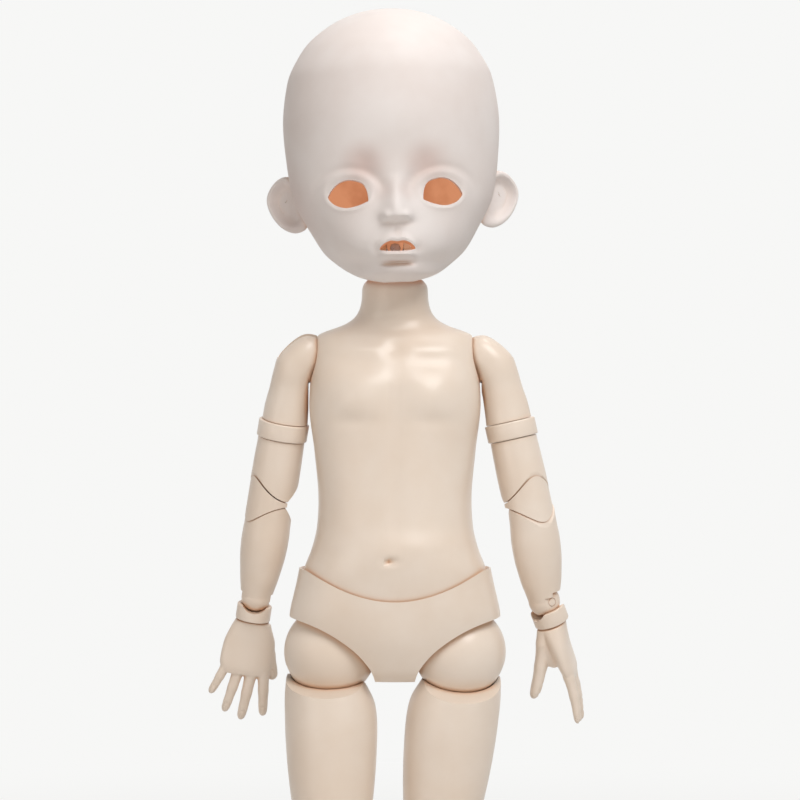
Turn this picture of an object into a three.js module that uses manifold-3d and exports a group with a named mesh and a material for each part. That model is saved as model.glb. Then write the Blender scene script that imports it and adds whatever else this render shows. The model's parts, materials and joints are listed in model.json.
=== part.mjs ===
// Ball jointed doll, child proportions, pinned joints, standing on its own feet.
// Millimetres, +Z up, the doll faces -Y, and its own left side is at +X.
import * as THREE from 'three';
import { mergeVertices } from 'three/addons/utils/BufferGeometryUtils.js';
import Module from 'manifold-3d';

const wasm = await Module();
wasm.setup();

// Values shared by the whole doll
const runningGap = 0.3;
const overrun = 6;
const weld = 0.0001;
const sliver = 0.02;
const quarterTurn = Math.PI / 2;
const halfTurn = Math.PI;
const halfShare = 0.5;

// How finely round things are cut
const roundSides = 24;
const bodySides = 20;
const cupSides = 20;
const limbSides = 14;
const rodSides = 8;
const ballSides = 12;
const fingerSides = 6;

// Heights of the joint centres, each from the one below it
const ankleHeight = 15;
const shinLength = 55.8;
const thighLength = 69.5;
const hipToWaist = 36.8;

// Pelvis, from the height of the hip joints
const pelvis = {
  rimRise: 20.9,
  crotchDrop: 6.9,
  halfWidth: 26.4,
  frontDepth: 16.6,
  backDepth: 16.4,
};
const hip = {
  spread: 16.2,
  ballRadius: 11.5,
  axleRadius: 1.5,
  axleEnd: 3,
  stemRadius: 1.6,
  stemLength: 24,
};
const hipStem = { crossReach: 7, crossRadius: 1.5, flangeRadius: 2.6, flangeThick: 1.8 };
const waist = { sphereRadius: 28.1, stemRadius: 2.6, hollowShare: 0.66 };
const universal = {
  pinRadius: 1.1,
  reach: 4,
  core: 3.8,
  ear: 1.8,
  earRadius: 2,
  forkReach: 6.2,
  base: 2,
};

// Torso, from the waist joint's centre
const torso = {
  drop: 30.9,
  height: 46.5,
  halfWidth: 21.4,
  frontDepth: 16.8,
  backDepth: 14.6,
  wall: 2.4,
  roof: 3,
  stemHole: 9.6,
  shoulderDrop: 9.6,
  partingPlane: 1.5,
};
// Neck, from the top of the torso
const neck = {
  radius: 8.2,
  topRadius: 6.8,
  rise: 9.6,
  jointRise: 17.2,
  flareRise: 4.6,
  flareRadius: 9.6,
  flareSink: 0.9,
  flareMidShare: 0.25,
  hollowRadius: 5.4,
  capThick: 6,
  postRadius: 2,
  flangeRadius: 3.8,
  flangeThick: 1.6,
};

// Head, from the neck joint's centre
const head = {
  halfWidth: 27,
  frontDepth: 27.5,
  backDepth: 29.5,
  chinDrop: 8.8,
  crownRise: 60,
  wall: 2.6,
  neckOpening: 10.4,
  openingTop: 2,
  capPlane: 10,
  floorWidth: 9,
};
const face = {
  eyeSpread: 11.4,
  eyeHeight: 12.2,
  eyeHalfWidth: 4.9,
  eyeHalfHeight: 3.6,
  mouthHeight: -1,
  mouthHalfWidth: 4.2,
  mouthHalfHeight: 0.9,
  noseHeight: 7.4,
  noseHalfWidth: 2.7,
  noseHalfHeight: 4.6,
  noseReach: 3,
  noseDepthShare: 0.93,
  lipDepthShare: 0.9,
  lipHalfWidth: 5.4,
  lipHalfHeight: 3.2,
  lipReach: 1.9,
};
const ear = { halfHeight: 7.8, reach: 5.4, thick: 2.4, height: 12.8, back: 3, root: 26.3, bowl: 5 };
const magnet = { radius: 1.5, thick: 1.5, bossRadius: 2.7, bossDepth: 4.5, spread: 15.5, height: 41 };

// Arm, from the shoulder joint's centre
const shoulder = { spread: 25, domeRadius: 7.6, hubRadius: 2, hubInside: 10, flangeRadius: 3.6 };
const shoulderHub = { flangeThick: 1.6, eyeRadius: 2.2, eyeWidth: 3.6, crossRadius: 1.1, crossReach: 4.5 };
const arm = {
  domeTop: 6.3,
  halfWidth: 5.75,
  halfDepth: 6.1,
  ringTop: 16.9,
  ringHeight: 4,
  ringProud: 0.25,
  elbow: 37,
  tenonRadius: 2.4,
  tenonReach: 5,
};
const elbow = {
  halfWidth: 6,
  halfDepth: 6,
  pinRise: 9.2,
  pinFront: 2,
  endRadius: 8.4,
  wedgeBack: -1.5,
  tipRise: 0.9,
  bevelRise: 4.9,
  strapHalf: 1.4,
  strapFront: 3.4,
  strapBack: 1.5,
  eyeRadius: 2.2,
  pinRadius: 0.9,
  skin: 1.5,
  upperTurn: 37,
  lowerTurn: 57,
};
const forearm = { wrist: 25.4, halfWidth: 6.2, halfDepth: 5.9 };
const wrist = {
  ballRadius: 3.95,
  tabThick: 3,
  tabRadius: 1.8,
  forwardTurn: 22,
  backTurn: 52,
  reliefRise: 2.4,
  recessHalf: 2,
  recessRise: 1.3,
  recessFloor: 3.5,
  pinRadius: 0.8,
  pinReach: 3.65,
  cuffRadius: 4.4,
  dipRadius: 3.85,
  cuffTop: 2.1,
  cuffBottom: 6,
  pegRadius: 1.5,
  pegReach: 1.2,
};
const hand = {
  palmLength: 14.6,
  palmHalfWidth: 6.4,
  palmHalfThick: 2.2,
  fingerRadius: 1.55,
  fingerTipRadius: 1.05,
};

// Leg, from the hip joint's centre
const thigh = { halfWidth: 11.5, halfDepth: 12, rimDrop: 5.4, notchBack: 2, notchDrop: 14.5 };
const knee = {
  halfWidth: 7.2,
  halfDepth: 7.4,
  pinRise: 11,
  pinFront: 2.4,
  endRadius: 10.1,
  wedgeBack: -1.8,
  tipRise: 1.1,
  bevelRise: 6,
  strapHalf: 1.7,
  strapFront: 4,
  strapBack: 1.8,
  eyeRadius: 2.6,
  pinRadius: 1.1,
  skin: 1.7,
  upperTurn: 52,
  lowerTurn: 52,
};
const shin = { halfWidth: 7.8, halfDepth: 8.4 };
const ankle = { ballRadius: 4.2, shinEnd: 2.4 };
const foot = { halfWidth: 6, toeReach: 27, heelReach: 9.5, height: 12.2 };

// Rest pose in degrees: arms a little out, left leg drawn in, right leg a step forward,
// head slightly turned
const pose = {
  headRoll: -1.8,
  headTurn: 1.4,
  rightArm: {
    swing: -9,
    lift: 9.6,
    twist: 120,
    forearm: 0.5,
    wristTurn: -120,
    wristBend: 0,
    handTurn: 6,
  },
  leftArm: {
    swing: 0,
    lift: -12.5,
    twist: -150,
    forearm: 8,
    wristTurn: 90,
    wristBend: 13.8,
    handTurn: 140,
  },
  rightLeg: -1,
  leftLeg: 6.5,
};

// Worked out from the sizes above
const waistToShoulder = torso.height - torso.shoulderDrop;
const waistToNeck = torso.height + neck.jointRise;
const cavityTop = torso.height - torso.roof;
const neckTop = torso.height + neck.rise;
const legLength = thighLength + shinLength;
const longestLimb = Math.max(thighLength, shinLength, arm.elbow, forearm.wrist);
const degree = halfTurn / 180;

// Finishes: warm cream body, paler and pinker head, nylon and bright steel inside
const cream = new THREE.MeshStandardMaterial({ color: 0xead6c2, roughness: 0.42, metalness: 0 });
const pale = new THREE.MeshStandardMaterial({ color: 0xf0e0d8, roughness: 0.62, metalness: 0 });
const nylon = new THREE.MeshStandardMaterial({ color: 0xe6dccb, roughness: 0.5, metalness: 0 });
const steel = new THREE.MeshStandardMaterial({ color: 0xb9bcc0, roughness: 0.3, metalness: 1 });

// A closed surface as a solid, moved by a matrix where one is given
function solid(geometry, place) {
  const plain = geometry.clone();
  plain.deleteAttribute('normal');
  plain.deleteAttribute('uv');
  if (place) plain.applyMatrix4(place);
  const merged = mergeVertices(plain, weld);
  const vertProperties = new Float32Array(merged.attributes.position.array);
  const triVerts = new Uint32Array(merged.index.array);
  return new wasm.Manifold(new wasm.Mesh({ numProp: 3, vertProperties, triVerts }));
}

// A solid as a named mesh, with its own material. Edges shorter than a sliver are closed up.
function piece(name, body, material) {
  const data = body.simplify(sliver).getMesh();
  const geometry = new THREE.BufferGeometry();
  geometry.setAttribute('position', new THREE.BufferAttribute(data.vertProperties, 3));
  geometry.setIndex(new THREE.BufferAttribute(data.triVerts, 1));
  geometry.computeVertexNormals();
  const mesh = new THREE.Mesh(geometry, material.clone());
  mesh.name = name;
  return mesh;
}

function joined(bodies) {
  return bodies.reduce((whole, next) => whole.add(next));
}

function less(body, cuts) {
  return cuts.reduce((whole, next) => whole.subtract(next), body);
}

function at(x, y, z) {
  return new THREE.Matrix4().makeTranslation(x, y, z);
}

// A group at a joint's centre, turned about x, then y, then z, in degrees
function joint(parent, place, turns = [0, 0, 0]) {
  const group = new THREE.Group();
  group.position.set(...place);
  group.rotation.set(...turns.map((turn) => turn * degree));
  parent.add(group);
  return group;
}

// A rod about a point, along x, y or z. Its second radius is at the far end of that axis.
function rod(axis, radius, length, centre, endRadius = radius, sides = rodSides) {
  const geometry = new THREE.CylinderGeometry(endRadius, radius, length, sides);
  if (axis === 'x') geometry.rotateZ(-quarterTurn);
  if (axis === 'z') geometry.rotateX(quarterTurn);
  return solid(geometry, at(...centre));
}

// A ball, or an egg where three radii are given
function ball(radii, centre, sides = ballSides) {
  const rows = Math.round(sides * halfShare);
  const geometry = new THREE.SphereGeometry(1, sides, rows);
  const [rx, ry, rz] = Array.isArray(radii) ? radii : [radii, radii, radii];
  geometry.rotateX(quarterTurn);
  geometry.scale(rx, ry, rz);
  return solid(geometry, at(...centre));
}

// A hollow for a ball to turn in: its flats, not its corners, stand at the radius
function cup(radius, centre, sides = cupSides) {
  return ball(radius / Math.cos(halfTurn / sides) ** 2, centre, sides);
}

function block(width, depth, height, centre) {
  return solid(new THREE.BoxGeometry(width, depth, height), at(...centre));
}

// The block between two corners
function between(low, high) {
  const size = high.map((value, k) => value - low[k]);
  const centre = high.map((value, k) => (value + low[k]) * halfShare);
  return block(...size, centre);
}

// A flat outline of [y, z] points pushed through from side to side, centred on x
function sideCutter(outline, width) {
  const shape = new THREE.Shape(outline.map(([y, z]) => new THREE.Vector2(y, z)));
  const geometry = new THREE.ExtrudeGeometry(shape, { depth: width, bevelEnabled: false });
  geometry.applyMatrix4(new THREE.Matrix4().set(0, 0, 1, 0, 1, 0, 0, 0, 0, 1, 0, 0, 0, 0, 0, 1));
  return solid(geometry, at(-width * halfShare, 0, 0));
}

// A flat outline of [x, z] points pushed through from front to back, centred on y
function frontCutter(outline, depth) {
  const shape = new THREE.Shape(outline.map(([x, z]) => new THREE.Vector2(x, z)));
  const geometry = new THREE.ExtrudeGeometry(shape, { depth, bevelEnabled: false });
  geometry.rotateX(quarterTurn);
  return solid(geometry, at(0, depth * halfShare, 0));
}

// One closed ring of points at height z: an oval with its own front and back depth.
// A squareness of 2 is an ellipse, and more is boxier.
function ovalRing(sides, z, halfWidth, front, back, squareness, shiftX, shiftY) {
  const points = [];
  const power = 2 / squareness;
  for (let k = 0; k < sides; k++) {
    const turn = (k / sides) * halfTurn * 2;
    const c = Math.cos(turn);
    const s = Math.sin(turn);
    const x = Math.sign(c) * Math.abs(c) ** power * halfWidth;
    const y = Math.sign(s) * Math.abs(s) ** power * (s < 0 ? front : back);
    points.push(new THREE.Vector3(x + shiftX, y + shiftY, z));
  }
  return points;
}

// Stacks rings of points, lowest first, into one closed skin with a fan at each end
function loft(rings) {
  const sides = rings[0].length;
  const positions = rings.flatMap((ring) => ring.flatMap((p) => [p.x, p.y, p.z]));
  const triangles = [];
  for (let r = 0; r + 1 < rings.length; r++) {
    for (let k = 0; k < sides; k++) {
      const next = (k + 1) % sides;
      const low = r * sides;
      const high = low + sides;
      triangles.push(low + k, low + next, high + next);
      triangles.push(low + k, high + next, high + k);
    }
  }
  [rings[0], rings[rings.length - 1]].forEach((ring, top) => {
    const middle = new THREE.Vector3();
    for (const p of ring) middle.add(p);
    middle.divideScalar(sides);
    const hub = rings.length * sides + top;
    positions.push(middle.x, middle.y, middle.z);
    const first = top ? (rings.length - 1) * sides : 0;
    for (let k = 0; k < sides; k++) {
      const next = (k + 1) % sides;
      if (top) triangles.push(hub, first + k, first + next);
      else triangles.push(hub, first + next, first + k);
    }
  });
  const geometry = new THREE.BufferGeometry();
  geometry.setAttribute('position', new THREE.Float32BufferAttribute(positions, 3));
  geometry.setIndex(triangles);
  return geometry;
}

// A lofted body from a table of shares, lowest row first. Each row is
// [height, half width, front, back, squareness, sideways shift, shift to the back].
// The inset moves the whole skin inwards, to make a hollow.
function lofted(rowShares, size, sides, inset = 0) {
  const rings = rowShares.map(([up, wide, front, back, squareness = 2, side = 0, shift = 0]) =>
    ovalRing(
      sides,
      THREE.MathUtils.lerp(size.low + inset, size.high - inset, up),
      Math.max(size.halfWidth * wide - inset, weld),
      Math.max(size.front * front - inset, weld),
      Math.max(size.back * back - inset, weld),
      squareness,
      size.halfWidth * side,
      size.front * shift,
    ),
  );
  return solid(loft(rings));
}

// The cross of a universal joint: one pin along x, one along y, and a core
function universalCross() {
  const span = universal.reach * 2;
  return joined([
    block(universal.core, universal.core, universal.core, [0, 0, 0]),
    rod('x', universal.pinRadius, span, [0, 0, 0]),
    rod('y', universal.pinRadius, span, [0, 0, 0]),
  ]);
}

// Two ears round one pin of the cross, on a foot. The foot lies below where up is 1.
function fork(axis, up) {
  const outer = universal.core * halfShare + runningGap + universal.ear;
  const middle = outer - universal.ear * halfShare;
  const across = universal.earRadius * 2;
  const half = universal.forkReach * halfShare;
  const ears = [-1, 1].map((side) => {
    const place = axis === 'x' ? [side * middle, 0, 0] : [0, side * middle, 0];
    const stand = [place[0], place[1], -up * half];
    const plate =
      axis === 'x'
        ? block(universal.ear, across, universal.forkReach, stand)
        : block(across, universal.ear, universal.forkReach, stand);
    return plate.add(rod(axis, universal.earRadius, universal.ear, place));
  });
  const footCentre = [0, 0, -up * universal.forkReach];
  const foot =
    axis === 'x'
      ? block(outer * 2, across, universal.base, footCentre)
      : block(across, outer * 2, universal.base, footCentre);
  return joined([foot, ...ears]).subtract(rod(axis, universal.pinRadius + runningGap, overrun * 3, [0, 0, 0]));
}

// Pelvis
const pelvisRowShares = [
  [0, 0.4, 0.46, 0.55, 2.2],
  [0.07, 0.62, 0.62, 0.72, 2.2],
  [0.25, 0.9, 0.78, 0.93, 2.2],
  [0.43, 0.985, 0.89, 1, 2.3],
  [0.57, 1, 0.94, 1, 2.4],
  [0.7, 0.975, 0.97, 0.97, 2.4],
  [0.86, 0.935, 0.985, 0.93, 2.4],
  [1, 0.905, 1, 0.9, 2.4],
];
// Leg opening, in shares of the hip ball's radius from its centre, from the outer side inwards
const legOpeningShares = [
  [1.75, 0.94],
  [0.8, 0.76],
  [0.19, 0.565],
  [-0.35, 0.25],
  [-0.74, -0.11],
  [-0.97, -0.54],
  [-1, -1.3],
  [1.75, -1.3],
];

const doll = new THREE.Group();
const stand = joint(doll, [0, 0, 0]);

function pelvisSize() {
  return {
    low: -pelvis.crotchDrop,
    high: pelvis.rimRise,
    halfWidth: pelvis.halfWidth,
    front: pelvis.frontDepth,
    back: pelvis.backDepth,
  };
}

function makePelvis() {
  const body = lofted(pelvisRowShares, pelvisSize(), bodySides);
  const stemTop = hipToWaist - waist.sphereRadius;
  const cuts = [
    cup(waist.sphereRadius + runningGap, [0, 0, hipToWaist], roundSides),
    rod('x', hip.axleRadius + runningGap, hip.spread * 2, [0, 0, 0]),
    rod('z', waist.stemRadius + runningGap, stemTop, [0, 0, stemTop * halfShare + hip.axleRadius]),
  ];
  for (const side of [-1, 1]) {
    const outline = legOpeningShares.map(([x, z]) => [
      side * (hip.spread + x * hip.ballRadius),
      z * hip.ballRadius,
    ]);
    if (side < 0) outline.reverse();
    cuts.push(frontCutter(outline, pelvis.frontDepth * 3));
    cuts.push(cup(hip.ballRadius + runningGap, [side * hip.spread, 0, 0]));
  }
  return less(body, cuts);
}

const pelvisGroup = joint(stand, [0, 0, 0]);
pelvisGroup.add(piece('pelvis', makePelvis(), cream));
const axleSpan = (hip.spread - hip.axleEnd) * 2;
pelvisGroup.add(piece('hip_axle', rod('x', hip.axleRadius, axleSpan, [0, 0, 0]), steel));

// Waist: a stem that turns in the pelvis, a cross that bends on it, and the torso that leans on the cross
const waistStemGroup = joint(pelvisGroup, [0, 0, hipToWaist]);

function makeWaistStem() {
  const foot = hip.axleRadius + runningGap * 2 - hipToWaist;
  const top = -universal.forkReach;
  return fork('x', 1).add(rod('z', waist.stemRadius, top - foot, [0, 0, (top + foot) * halfShare]));
}

waistStemGroup.add(piece('waist_stem', makeWaistStem(), nylon));
const waistCrossGroup = joint(waistStemGroup, [0, 0, 0]);
waistCrossGroup.add(piece('waist_cross', universalCross(), steel));

// Torso
const torsoRowShares = [
  [0, 1, 0.84, 1.02, 2.4],
  [0.155, 1.084, 0.96, 1.06, 2.4],
  [0.189, 1.063, 0.98, 1.02, 2.4],
  [0.257, 0.97, 1, 0.95, 2.3],
  [0.335, 0.907, 0.93, 0.88, 2.3],
  [0.412, 0.893, 0.9, 0.87, 2.3],
  [0.567, 0.939, 0.865, 0.91, 2.4],
  [0.722, 1, 0.85, 0.96, 2.6],
  [0.78, 0.991, 0.84, 0.96, 2.6],
  [0.86, 0.963, 0.72, 0.88, 2.6],
  [0.917, 0.944, 0.6, 0.77, 2.6],
  [0.948, 0.916, 0.53, 0.65, 2.5],
  [0.961, 0.8, 0.5, 0.62, 2.4],
  [1, 0.45, 0.46, 0.58, 2],
];
const torsoHollowShares = [
  [0, 0.95, 0.9, 0.98, 2.4],
  [0.15, 0.97, 1, 0.98, 2.4],
  [0.3, 0.9, 0.95, 0.9, 2.3],
  [0.45, 0.89, 0.88, 0.87, 2.3],
  [0.62, 0.93, 0.86, 0.9, 2.4],
  [0.72, 0.82, 0.83, 0.93, 2.4],
  [0.8, 0.72, 0.8, 0.9, 2.4],
  [1, 0.69, 0.59, 0.72, 2.2],
];

function torsoHollow(inset) {
  const size = {
    low: -waist.sphereRadius * waist.hollowShare,
    high: cavityTop,
    halfWidth: torso.halfWidth,
    front: torso.frontDepth,
    back: torso.backDepth,
  };
  return lofted(torsoHollowShares, size, limbSides, inset);
}

function makeTorso() {
  const size = {
    low: -torso.drop,
    high: torso.height,
    halfWidth: torso.halfWidth,
    front: torso.frontDepth,
    back: torso.backDepth,
  };
  const width = torso.halfWidth * 3;
  const skin = lofted(torsoRowShares, size, bodySides);
  const rounding = ball(waist.sphereRadius, [0, 0, 0], roundSides).add(
    between([-width, -width, 0], [width, width, torso.height + overrun]),
  );
  const flareFoot = torso.height - neck.flareSink;
  const flareTop = torso.height + neck.flareRise;
  const flareMid = THREE.MathUtils.lerp(neck.radius, neck.flareRadius, neck.flareMidShare);
  const profile = [
    [0, flareFoot - overrun],
    [neck.flareRadius, flareFoot - overrun],
    [neck.flareRadius, flareFoot],
    [flareMid, (flareFoot + flareTop) * halfShare],
    [neck.radius, flareTop],
    [neck.radius, neckTop - neck.flangeThick],
    [neck.topRadius, neckTop],
    [0, neckTop],
  ];
  const lathe = new THREE.LatheGeometry(profile.map(([r, z]) => new THREE.Vector2(r, z)), bodySides);
  lathe.rotateX(quarterTurn);
  const neckSkin = solid(lathe);
  const hollowTop = neckTop - neck.capThick;
  const hollowMiddle = (hollowTop + cavityTop - overrun) * halfShare;
  const neckHollow = rod('z', neck.hollowRadius, hollowTop - cavityTop + overrun, [0, 0, hollowMiddle]);
  const cuts = [
    torsoHollow(torso.wall),
    neckHollow,
    rod('z', neck.postRadius + runningGap, neck.capThick * 3, [0, 0, neckTop]),
    rod('z', torso.stemHole, torso.drop, [0, 0, -torso.drop], torso.stemHole, bodySides),
  ];
  for (const side of [-1, 1]) {
    const centre = [side * shoulder.spread, 0, waistToShoulder];
    cuts.push(cup(shoulder.domeRadius + runningGap, centre));
    const bore = shoulder.spread * 2 - shoulder.hubInside;
    cuts.push(rod('x', shoulder.hubRadius + runningGap, bore, [side * shoulder.spread, 0, waistToShoulder]));
  }
  return less(skin.intersect(rounding).add(neckSkin), cuts);
}

const torsoGroup = joint(waistCrossGroup, [0, 0, 0]);
const torsoBody = makeTorso();
const farOut = torso.halfWidth * 3;
const partingGap = runningGap * halfShare;
const frontHalf = between([-farOut, -farOut, -farOut], [farOut, torso.partingPlane - partingGap, farOut * 2]);
const backHalf = between([-farOut, torso.partingPlane + partingGap, -farOut], [farOut, farOut, farOut * 2]);
torsoGroup.add(piece('torso_front', torsoBody.intersect(frontHalf), cream));
torsoGroup.add(piece('torso_back', torsoBody.intersect(backHalf), cream));

function makeWaistFrame() {
  const shelf = between(
    [-universal.earRadius, -farOut, universal.forkReach - universal.base * halfShare],
    [universal.earRadius, farOut, universal.forkReach + universal.base * halfShare],
  );
  return fork('y', -1).add(shelf.intersect(torsoHollow(torso.wall + runningGap)));
}

torsoGroup.add(piece('waist_frame', makeWaistFrame(), nylon));

// Neck: a post that turns in the top of the neck, a cross that nods on it, and the head that tilts
const neckPostGroup = joint(torsoGroup, [0, 0, waistToNeck], [0, 0, pose.headTurn]);

function makeNeckPost() {
  const flangeTop = neckTop - neck.capThick - runningGap - waistToNeck;
  const flangeLow = flangeTop - neck.flangeThick;
  const shaftMiddle = (flangeLow - universal.forkReach) * halfShare;
  const shaft = rod('z', neck.postRadius, -universal.forkReach - flangeLow, [0, 0, shaftMiddle]);
  const flange = rod('z', neck.flangeRadius, neck.flangeThick, [0, 0, (flangeLow + flangeTop) * halfShare]);
  return joined([fork('x', 1), shaft, flange]);
}

neckPostGroup.add(piece('neck_post', makeNeckPost(), nylon));
const neckCrossGroup = joint(neckPostGroup, [0, 0, 0]);
neckCrossGroup.add(piece('neck_cross', universalCross(), steel));

// Head
const headRowShares = [
  [0, 0.17, 0.18, 0.22, 2, 0, -0.527],
  [0.019, 0.333, 0.345, 0.475, 2, 0, -0.436],
  [0.078, 0.544, 0.873, 0.475, 2.1],
  [0.112, 0.641, 0.909, 0.61, 2.2],
  [0.195, 0.774, 0.938, 0.763, 2.2],
  [0.244, 0.844, 0.945, 0.83, 2.2],
  [0.302, 0.915, 0.93, 0.88, 2.2],
  [0.433, 0.974, 0.96, 0.963, 2.1],
  [0.578, 1, 1, 1, 2],
  [0.738, 0.948, 0.945, 0.949, 2],
  [0.83, 0.837, 0.829, 0.847, 2],
  [0.874, 0.756, 0.727, 0.763, 2],
  [0.917, 0.63, 0.604, 0.644, 2],
  [0.961, 0.444, 0.418, 0.475, 2],
  [0.988, 0.24, 0.218, 0.271, 2],
  [1, 0.05, 0.05, 0.05, 2],
];
const headHollowShares = [
  [0, 0.45, 0.8, 0.4, 2.1],
  [0.1, 0.74, 0.9, 0.72, 2.2],
  [0.22, 0.9, 0.93, 0.86, 2.2],
  [0.42, 0.99, 0.98, 0.98, 2],
  [0.6, 0.98, 0.98, 0.98, 2],
  [0.76, 0.87, 0.87, 0.88, 2],
  [0.88, 0.68, 0.66, 0.7, 2],
  [1, 0.3, 0.28, 0.32, 2],
];

function headHollow(inset) {
  const size = {
    low: -head.chinDrop * halfShare,
    high: head.crownRise,
    halfWidth: head.halfWidth,
    front: head.frontDepth,
    back: head.backDepth,
  };
  return lofted(headHollowShares, size, limbSides, inset);
}

function makeEar(side) {
  const centre = [side * ear.root, ear.back, ear.height];
  const shell = ball([ear.reach, ear.thick, ear.halfHeight], centre);
  const bowlX = side * (ear.root + ear.reach * halfShare);
  const bowlY = ear.back - ear.thick - ear.bowl * halfShare;
  const bowlRadii = [ear.reach * halfShare, ear.bowl, ear.halfHeight * halfShare];
  return shell.subtract(ball(bowlRadii, [bowlX, bowlY, ear.height]));
}

function oval(halfWidth, halfHeight, centre, depth) {
  const geometry = new THREE.CylinderGeometry(1, 1, 1, ballSides);
  geometry.scale(halfWidth, depth, halfHeight);
  return solid(geometry, at(...centre));
}

function makeHeadSkin() {
  const size = {
    low: -head.chinDrop,
    high: head.crownRise,
    halfWidth: head.halfWidth,
    front: head.frontDepth,
    back: head.backDepth,
  };
  return lofted(headRowShares, size, roundSides);
}

function makeHead() {
  const noseY = -head.frontDepth * face.noseDepthShare;
  const mouthY = -head.frontDepth * face.lipDepthShare;
  const parts = [
    headSkin,
    ball([face.noseHalfWidth, face.noseReach, face.noseHalfHeight], [0, noseY, face.noseHeight]),
    ball([face.lipHalfWidth, face.lipReach * 2, face.lipHalfHeight], [0, mouthY, face.mouthHeight]),
  ];
  for (const side of [-1, 1]) {
    parts.push(makeEar(side));
  }
  const openingLength = head.chinDrop + head.openingTop;
  const openingMiddle = (head.openingTop - head.chinDrop) * halfShare;
  const cuts = [
    headHollow(head.wall),
    rod('z', head.neckOpening, openingLength + overrun, [0, 0, openingMiddle], head.neckOpening, bodySides),
    oval(face.mouthHalfWidth, face.mouthHalfHeight, [0, -head.frontDepth, face.mouthHeight], head.frontDepth),
  ];
  for (const side of [-1, 1]) {
    const centre = [side * face.eyeSpread, -head.frontDepth, face.eyeHeight];
    cuts.push(oval(face.eyeHalfWidth, face.eyeHalfHeight, centre, head.frontDepth));
  }
  return less(joined(parts), cuts);
}

// Bosses for the magnets stand inside the shell on both sides of the parting face
function magnetBoss(side, front) {
  const reach = magnet.bossDepth;
  const y = head.capPlane + (front ? -1 : 1) * (reach * halfShare + partingGap);
  const width = head.halfWidth - magnet.spread;
  return block(width * 2, reach, magnet.bossRadius * 2, [side * head.halfWidth, y, magnet.height]).add(
    rod('y', magnet.bossRadius, reach, [side * magnet.spread, y, magnet.height]),
  );
}

function magnetDisc(side, front, extra) {
  const thick = magnet.thick + extra;
  const y = head.capPlane + (front ? -1 : 1) * (partingGap + runningGap + magnet.thick * halfShare);
  return rod('y', magnet.radius + extra, thick + extra, [side * magnet.spread, y, magnet.height]);
}

const headGroup = joint(neckCrossGroup, [0, 0, 0], [0, pose.headRoll, 0]);
const headSkin = makeHeadSkin();
const headBody = makeHead();
const headFar = head.crownRise * 2;

function headPart(front) {
  const bosses = joined([-1, 1].map((side) => magnetBoss(side, front)));
  const pockets = [-1, 1].map((side) => magnetDisc(side, front, runningGap));
  const edge = head.capPlane + (front ? -1 : 1) * partingGap;
  const keep = front
    ? between([-headFar, -headFar, -headFar], [headFar, edge, headFar])
    : between([-headFar, edge, -headFar], [headFar, headFar, headFar]);
  return less(headBody.add(bosses.intersect(headSkin)).intersect(keep), pockets);
}

headGroup.add(piece('face_shell', headPart(true), pale));

function makeHeadSocket() {
  const low = universal.forkReach - universal.base * halfShare;
  const high = low + universal.base;
  const half = head.floorWidth * halfShare;
  const floor = between([-headFar, -half, low], [headFar, half, high]).add(
    between([-half, -headFar, low], [half, half, high]),
  );
  return fork('y', -1).add(floor.intersect(headHollow(head.wall + runningGap)));
}

headGroup.add(piece('head_socket', makeHeadSocket(), nylon));
const headCapGroup = joint(headGroup, [0, 0, 0]);
headCapGroup.add(piece('head_cap', headPart(false), pale));
const sides = [
  ['right', -1],
  ['left', 1],
];
for (const [name, side] of sides) {
  headGroup.add(piece(`face_magnet_${name}`, magnetDisc(side, true, 0), steel));
  headCapGroup.add(piece(`cap_magnet_${name}`, magnetDisc(side, false, 0), steel));
}

// The parts of a double hinge, measured from its middle. It folds to the front where fold is -1,
// to the back where fold is 1. Its limbs lie above (up 1) and below (up -1).
function hingeCentre(size, fold, up) {
  return [0, fold * size.pinFront, up * size.pinRise];
}

// Cuts a limb's end to a round about its pin, opens it on the folding side and slots it for the strap
function hingeEnd(limb, size, fold, up) {
  const turn = (up > 0 ? size.upperTurn : size.lowerTurn) * degree;
  const wide = size.halfWidth * 3;
  const centre = hingeCentre(size, fold, up);
  const far = up * longestLimb;
  const kept = rod('x', size.endRadius, wide, centre, size.endRadius, roundSides).add(
    between(
      [-wide, -wide, Math.min(centre[2], far)],
      [wide, wide, Math.max(centre[2], far)],
    ),
  );
  const tip = [-fold * size.wedgeBack, up * size.tipRise];
  const outer = fold * size.halfDepth * 2;
  const slope = size.bevelRise / (size.halfDepth + size.wedgeBack);
  const rise = tip[1] + up * slope * Math.abs(outer - tip[0]);
  const bevel = sideCutter([tip, [outer, rise], [outer, -rise], [tip[0], -rise]], wide);
  const slotHalf = size.strapHalf + runningGap;
  const slotBack = -fold * (size.strapBack + runningGap);
  const strapAhead = size.strapFront - size.pinFront + runningGap;
  const slotNear = centre[1] + (fold * strapAhead) / Math.cos(turn);
  const slotFar = slotNear + fold * size.pinRise * Math.tan(turn);
  const slotOutline = [[slotBack, 0], [slotBack, centre[2]], [slotNear, centre[2]], [slotFar, 0]];
  const slot = sideCutter(slotOutline, slotHalf * 2);
  const eyeRoom = rod('x', size.eyeRadius + runningGap, slotHalf * 2, centre);
  const pinHole = rod('x', size.pinRadius + runningGap, pinSpan(size) + runningGap * 2, centre);
  return less(limb.intersect(kept), [bevel, slot, eyeRoom, pinHole]);
}

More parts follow.
